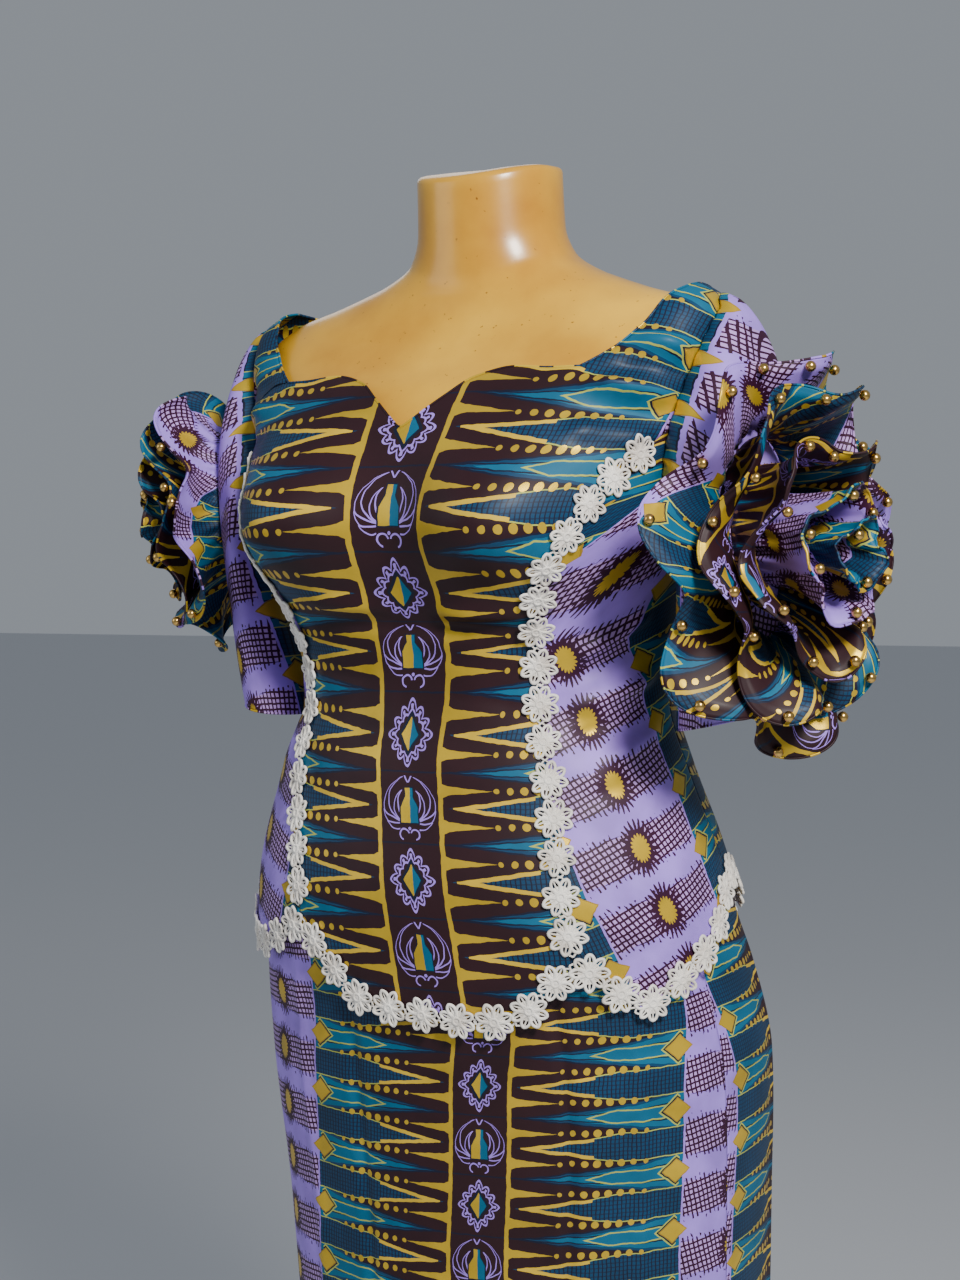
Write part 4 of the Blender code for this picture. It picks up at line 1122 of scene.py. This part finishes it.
def ruffle_place(side, i):
    """Points of one ruffle's cloth, with its fine gathers and its turned outer edge."""
    row = RUFFLES[i]

    def place(s, t):
        al = s * 2 * math.pi
        p = rose_point(side, row, al, t)
        ends = np.linspace(0, 2 * math.pi, 97)
        root = rose_point(side, row, ends, 0 * ends)
        shift = seat(side, root, ROOT_OUT[i]) - root
        move = np.stack([np.interp(al, ends, shift[:, k]) for k in range(3)], -1)
        p = p + move * ((1 - t)**2)[:, None]
        e = 0.01
        near, far = np.maximum(t - e, 0), t + e
        du = rose_point(side, row, al + e, t) - rose_point(side, row, al - e, t)
        dv = rose_point(side, row, al, far) - rose_point(side, row, al, near)
        n = unit(np.cross(du, dv))
        size = ROSE[side][4]
        pleats = round(row[6] * 5)
        deep = 0.0022 * size * np.sin(pleats * al + 1.3 * np.sin(3 * al + i))
        deep = deep * np.exp(-t * 3.4) * ease(t * 14)
        soft = 0.0022 * size * np.sin((row[6] + 3) * al + 2.1 * i + side) * t**2
        crisp = 0.0008 * size * np.sin(17 * al + 4 * t + i) * t**1.5
        fall = -0.0035 * size * ease((t - 0.90) / 0.10)
        p = p + n * (deep + soft + crisp + fall)[:, None]
        return p * np.array([side, 1, 1])
    return place


# Each ruffle is a strip cut aslant from the print.
# columns: degrees round to the strip's join, print's place across the stripe at the middle of the
# lower edge, slant in degrees, print's place along the stripe there
STRIP_CUT = ((200, -0.030, 33.0, 0.006), (150, 0.080, 40.0, 0.020), (120, 0.018, 12.0, 0.000),
             (100, 0.170, 20.0, 0.010), (90, 0.120, 15.0, 0.015))


def ruffle_chart(side, i, place, around, deep):
    """The print on a ruffle, from lengths measured along its cloth. Also the strip's own size."""
    s, t = np.meshgrid(np.arange(around + 1) / around, np.arange(deep + 1) / deep)
    p = place(s.ravel(), t.ravel()).reshape(deep + 1, around + 1, 3)
    along = lengths(p[int(deep * 0.8)])
    inward = np.cumsum(np.linalg.norm(np.diff(p, axis=0), axis=-1)[::-1], axis=0)[::-1]
    inward = np.concatenate([inward, np.zeros((1, around + 1))])
    join, at, slant, up = STRIP_CUT[i]
    at -= 0.070 * (side < 0)
    c, n = math.cos(math.radians(slant)), math.sin(math.radians(slant))
    foot = np.interp(0.75 * around, np.arange(around + 1), along)

    def chart(s, t):
        k = np.round(s * around).astype(int)
        w = inward[np.round(np.clip(t, 0, 1) * deep).astype(int), k]
        from_foot = along[k] - foot + along[-1] * (s < join / 360)
        return np.stack([at - from_foot * n + w * c, up + from_foot * c + w * n], -1)
    return chart, along[-1], float(inward[0].mean())


# columns: each ruffle's beads, as degrees round its edge
BEADS = {
    1: ((10, 33, 52, 76, 92, 118, 144, 170, 196, 222, 248, 274, 296, 316, 338),
        (12, 32, 62, 91, 118, 144, 163, 186, 210, 232, 262, 295, 328, 348),
        (28, 68, 90, 130, 160, 196, 232, 262, 286, 330),
        (20, 75, 140, 205, 270, 346), (60, 240)),
    -1: ((8, 40, 74, 108, 140, 176, 210, 246, 280, 318), (20, 70, 120, 160, 206, 253, 298, 340),
         (30, 92, 155, 212, 270, 325), (50, 150, 250, 340), (100, 280)),
}
BEAD_R = 0.0039
BEAD_AT = 0.945         # share of a ruffle's depth at which its beads are sewn on
EDGE_R = 0.00095        # half the thickness of a rolled edge
brass, tree, shader = finish("gilt_bead_metal", Metallic=1.0, Roughness=0.22)
shader.inputs["Base Color"].default_value = dye(226, 184, 104)
tree.links.new(spread(tree, noise(tree, 700.0, 3.0)["Fac"], 0.14, 0.34), shader.inputs["Roughness"])


def rolled_edge(side, i, place, chart, around):
    """The narrow hem turned over at a ruffle's free edge."""
    def edge(s):
        s = np.mod(s, 1.0)
        return place(s, np.full_like(s, 0.999))
    return woven("rolled_edge", around, 5, tubed(edge, EDGE_R),
                 lambda s, t: chart(s, 1 + 0 * t), weld=WELD)


FLAT_CUTS = {}          # width and length of each ruffle's strip before it was gathered
for side, word in SIDES:
    beads = []
    edges = []
    for i, (around, deep) in enumerate(RUFFLE_MESH):
        around = int(around * (0.8 if side < 0 else 1.0))
        place = ruffle_place(side, i)
        chart, long, wide = ruffle_chart(side, i, place, around, deep)
        name = "rose_" + word + "_ruffle_" + str(i + 1)
        piece = woven(name + "_strip", around, deep, place, chart, weld=WELD)
        sewn(piece, name)
        FLAT_CUTS[name + "_strip"] = (round(long, 2), round(wide, 3))
        edges.append(rolled_edge(side, i, place, chart, around))
        at = np.array(BEADS[side][i]) / 360
        spots = place(at, np.full_like(at, BEAD_AT))
        du = place(at + 0.004, np.full_like(at, BEAD_AT)) - spots
        dv = place(at, np.full_like(at, BEAD_AT - 0.045)) - spots
        n = unit(np.cross(dv, du))
        out = np.array([side * math.cos(0.3), -math.sin(0.3), 0.3])
        n = n * np.where(n @ out > 0, 1, -1)[:, None]
        beads.extend(spots + n * (BEAD_R + CLOTH / 2))
    fitted(joined("rose_" + word + "_rolled_edges", edges), print_cloth)
    bm = bmesh.new()
    for at in beads:
        bmesh.ops.create_uvsphere(bm, u_segments=10, v_segments=6, radius=BEAD_R,
                                  matrix=Matrix.Translation(at))
    fitted(linked(bm, "rose_" + word + "_beads"), brass)


# Lace: cotton guipure trim, a chain of daisies whose eight petals are corded loops with a rib
# down the middle. It is sewn flat over the princess seams and along the hem of the bodice.
DAISY = 0.0136          # radius of a daisy
CORD = 0.00118          # half the thickness of a petal's cord
LINK = 0.0277           # from the middle of one daisy to the next
LACE_OUT = 0.0009       # from the bodice's cloth to the back of the lace
cotton, tree, shader = finish("guipure_cotton", Roughness=0.85, Specular_IOR_Level=0.2,
                              Sheen_Weight=0.25, Sheen_Roughness=0.6)
soiled = ramp(tree, noise(tree, 60.0, 4.0)["Fac"], 0.32, 0.62, (dye(214, 206, 196), dye(246, 242, 235)))
tree.links.new(soiled, shader.inputs["Base Color"])
grained(tree, shader, noise(tree, 900.0, 2.0)["Fac"], 0.5, 0.0004)


def round_daisy(r, turn, z):
    """Points r from the daisy's middle at an angle in radians."""
    return np.stack(np.broadcast_arrays(r * np.cos(turn), r * np.sin(turn), z), -1)


def swung(x, y, turn):
    """x and y turned round the daisy's middle."""
    return x * np.cos(turn) - y * np.sin(turn), x * np.sin(turn) + y * np.cos(turn)


def petal_loop(turn):
    def path(s):
        c, n = np.cos(2 * math.pi * s), np.sin(2 * math.pi * s)
        x = DAISY * (0.60 + 0.36 * c)
        y = DAISY * 0.215 * n * np.abs(n)**0.35 * (1 + 0.12 * c)
        return np.stack([*swung(x, y, turn), 0.0012 + 0.0003 * c], -1)
    return path


def petal_rib(turn):
    return lambda s: round_daisy(DAISY * (0.20 + 0.68 * s), turn, 0.0010)


def heart_ring(s):
    return round_daisy(DAISY * 0.20, 2 * math.pi * s, 0.0016)


def button(s, t):
    return round_daisy(DAISY * 0.17 * t, 2 * math.pi * s, 0.0017 + 0.0006 * (1 - t * t))


def web(s, t):
    return round_daisy(DAISY * (0.12 + 0.46 * t), 2 * math.pi * s, 0.0010)


def bar(across, along):
    """A thread that ties a daisy to the next one."""
    def path(s):
        x = along * (DAISY * 0.80 + (LINK / 2 + 0.0006 - DAISY * 0.80) * s)
        return np.stack([x, across * DAISY * 0.30 * (1 - s) + 0 * s, 0.0009 + 0 * s], -1)
    return path


# columns: mesh columns, mesh rows, place
threads = [(16, 2, web), (14, 5, tubed(heart_ring, CORD)), (8, 2, button)]
for k in range(8):
    turn = math.radians(22.5 + 45 * k)
    threads += [(16, 5, tubed(petal_loop(turn), CORD)), (3, 4, tubed(petal_rib(turn), CORD * 0.55))]
for across in (-1, 1):
    for along in (-1, 1):
        threads.append((2, 4, tubed(bar(across, along), CORD * 0.6)))
daisy = joined("daisy", [woven("thread", *thread, weld=0.00001) for thread in threads])


def laid(a0, h0, across, du, dv):
    """Angle and height of the points du along and dv across from spots of the figure."""
    want = figure(a0, h0) + across[0] * du[..., None] + across[1] * dv[..., None]
    a = a0 + 0 * du
    h = h0 + 0 * du
    for _ in range(5):
        here = figure(a, h)
        ta = (figure(a + STEP_ANG, h) - here) / STEP_ANG
        th = (figure(a, h + STEP_H) - here) / STEP_H
        aa, at, tt = (ta * ta).sum(-1), (ta * th).sum(-1), (th * th).sum(-1)
        ra, rt = ((want - here) * ta).sum(-1), ((want - here) * th).sum(-1)
        cross = aa * tt - at * at
        a = a + np.clip((ra * tt - rt * at) / cross, -4, 4)
        h = h + np.clip((rt * aa - ra * at) / cross, -0.02, 0.02)
    return a, h


def lace(word, ang, hgt, closed):
    """ang and hgt give the line the daisies are centred on, finely sampled."""
    line, _ = skin(ang, hgt, flare(hgt))
    dist = lengths(line)
    count = dist[-1] / LINK
    count = int(round(count)) if closed else int(count)
    pitch = dist[-1] / count if closed else LINK
    mid = dist[-1] - (np.arange(count)[::-1] + 0.5) * pitch
    a0, h0 = np.interp(mid, dist, ang)[:, None], np.interp(mid, dist, hgt)[:, None]
    ends = [skin(np.interp(mid + d, dist, ang), np.interp(mid + d, dist, hgt))[0] for d in (-0.004, 0.004)]
    n = skin(a0[:, 0], h0[:, 0])[1]
    ahead = ends[1] - ends[0]
    ahead = unit(ahead - n * (ahead * n).sum(-1, keepdims=True))
    local = np.array([v.co[:] for v in daisy.data.vertices])
    turn = np.radians(5 * np.sin(np.arange(count) * 2.7 + len(word)))[:, None]
    size = 1 + 0.03 * np.sin(np.arange(count) * 1.9)[:, None]
    du, dv = [size * d for d in swung(local[:, 0], local[:, 1], turn)]
    a, h = laid(a0, h0, (ahead[:, None], np.cross(n, ahead)[:, None]), du, dv)
    cup = 0.0006 * np.sin(3 * turn * 57 + 4 * np.arctan2(dv, du)) * (np.hypot(du, dv) / DAISY)**2
    hollow = 0.0020 * np.exp(-((h - 1.163) / 0.022)**2)
    out = flare(h) + lift(a, h) + LACE_OUT + local[:, 2] + cup + hollow
    out = out + pulled(a, h) * ease((h - hem(a)) / 0.004)
    points = skin(a, h, out)[0].reshape(-1, 3)
    bm = bmesh.new()
    for _ in range(count):
        bm.from_mesh(daisy.data)
    for vert, p in zip(bm.verts, points):
        vert.co = p
    fitted(linked(bm, "lace_" + word + "_daisies"), cotton, "lace_" + word)


for side, word, above in ((1, "princess_left", 0.010), (-1, "princess_right", 0.014)):
    _, low = meet(lambda h: princess(h, side))
    heights = np.linspace(1.2925, low + above, 240)
    lace(word, princess(heights, side), heights, False)
round_hem = np.linspace(-180, 180, 900)
lace("hem", round_hem, hem(round_hem), True)
bpy.data.objects.remove(daisy, do_unlink=True)


# Cloth facts: how wide and long each sheet was cut, its flat area where it isn't a rectangle,
# what it hangs from and what is sewn on it.
# columns: piece, width and length, area, how it is held, what it hangs from, pieces sewn on it
SHEETS = [
    ("bodice_front_centre_panel", (0.42, 0.52), 0.150, "draped", torso.name, ["lace_hem_daisies"]),
    ("skirt_front_panel", (0.50, 1.03), None, "hung", torso.name, []),
    ("skirt_back_panel", (0.66, 1.03), None, "hung", torso.name, []),
    ("sleeve_left_tube", (0.46, 0.24), None, "draped", "bodice_front_centre_panel", ["rose_left_beads"]),
    ("sleeve_right_tube", (0.44, 0.22), None, "draped", "bodice_front_centre_panel", ["rose_right_beads"]),
]
for _, word in SIDES:
    SHEETS.append(("bodice_front_side_" + word + "_panel", (0.18, 0.38), 0.050, "draped", torso.name,
                   ["lace_princess_" + word + "_daisies"]))
    SHEETS.append(("bodice_back_" + word + "_panel", (0.27, 0.52), 0.110, "draped", torso.name, []))
    for i in range(5):
        name = "rose_" + word + "_ruffle_" + str(i + 1) + "_strip"
        extra = ["rose_" + word + "_rolled_edges"] if i == 0 else []
        SHEETS.append((name, FLAT_CUTS[name], None, "gathered", "sleeve_" + word + "_tube", extra))
for name, flat, area, held, under, extra in SHEETS:
    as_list(extra)


# Room: a plain pale floor under a softly lit studio, with a warm key lamp at the wearer's left
# front. The camera stands where the photograph was taken from, at the height of the bust.
bm = bmesh.new()
bmesh.ops.create_grid(bm, x_segments=1, y_segments=1, size=12)
floor = linked(bm, "pale_floor")
pale, tree, shader = finish("pale_floor_paint", Roughness=0.8)
shader.inputs["Base Color"].default_value = dye(206, 208, 212)
floor.data.materials.append(pale)

world = bpy.data.worlds.new("studio")
world.use_nodes = True
world.node_tree.nodes["Background"].inputs["Color"].default_value = (0.60, 0.65, 0.72, 1)
world.node_tree.nodes["Background"].inputs["Strength"].default_value = 0.44
bpy.context.scene.world = world

# columns: name, place, aimed at, size, power, colour
LAMPS = (
    ("key", (1.70, -1.35, 2.45), (0.05, 0.0, 1.20), 0.50, 88.0, (1.0, 0.97, 0.92)),
    ("fill", (-1.7, -1.5, 1.9), (0.0, 0.0, 1.15), 1.4, 9.0, (0.90, 0.95, 1.0)),
    ("back", (-1.5, 1.9, 2.4), (0.0, 0.0, 1.2), 1.0, 4.0, (0.95, 0.97, 1.0)),
)
for lamp_name, at, aim, across, power, colour in LAMPS:
    data = bpy.data.lights.new(lamp_name + "_light", "AREA")
    data.shape = "SQUARE"
    data.size = across
    data.energy = power
    data.color = colour
    lamp = bpy.data.objects.new(lamp_name + "_light", data)
    lamp.location = at
    lamp.rotation_euler = (Vector(aim) - Vector(at)).to_track_quat("-Z", "Y").to_euler()
    bpy.context.scene.collection.objects.link(lamp)

AZIMUTH = math.radians(31)      # round from the front towards the wearer's left
AWAY = 1.70
EYE = 1.28
TALL = 1280                     # height of the picture in pixels
FOCUS = 2210                    # focal length in pixels
DOWN = math.atan(180 / FOCUS)
YAW = math.atan(9 / FOCUS)
ROLL = math.radians(2)
aim = Matrix.Rotation(YAW, 3, "Z")
level = (-math.sin(AZIMUTH) * math.cos(DOWN), math.cos(AZIMUTH) * math.cos(DOWN))
ahead = aim @ Vector((*level, -math.sin(DOWN)))
right = aim @ Vector((math.cos(AZIMUTH), math.sin(AZIMUTH), 0))
up = right.cross(ahead)
right, up = math.cos(ROLL) * right - math.sin(ROLL) * up, math.sin(ROLL) * right + math.cos(ROLL) * up
data = bpy.data.cameras.new("camera")
data.sensor_width = 36
data.lens = FOCUS / TALL * data.sensor_width
camera = bpy.data.objects.new("camera", data)
camera.matrix_world = Matrix.Translation((math.sin(AZIMUTH) * AWAY, -math.cos(AZIMUTH) * AWAY, EYE)) @ Matrix(
    (right, up, -ahead)).transposed().to_4x4()
bpy.context.scene.collection.objects.link(camera)
bpy.context.scene.camera = camera
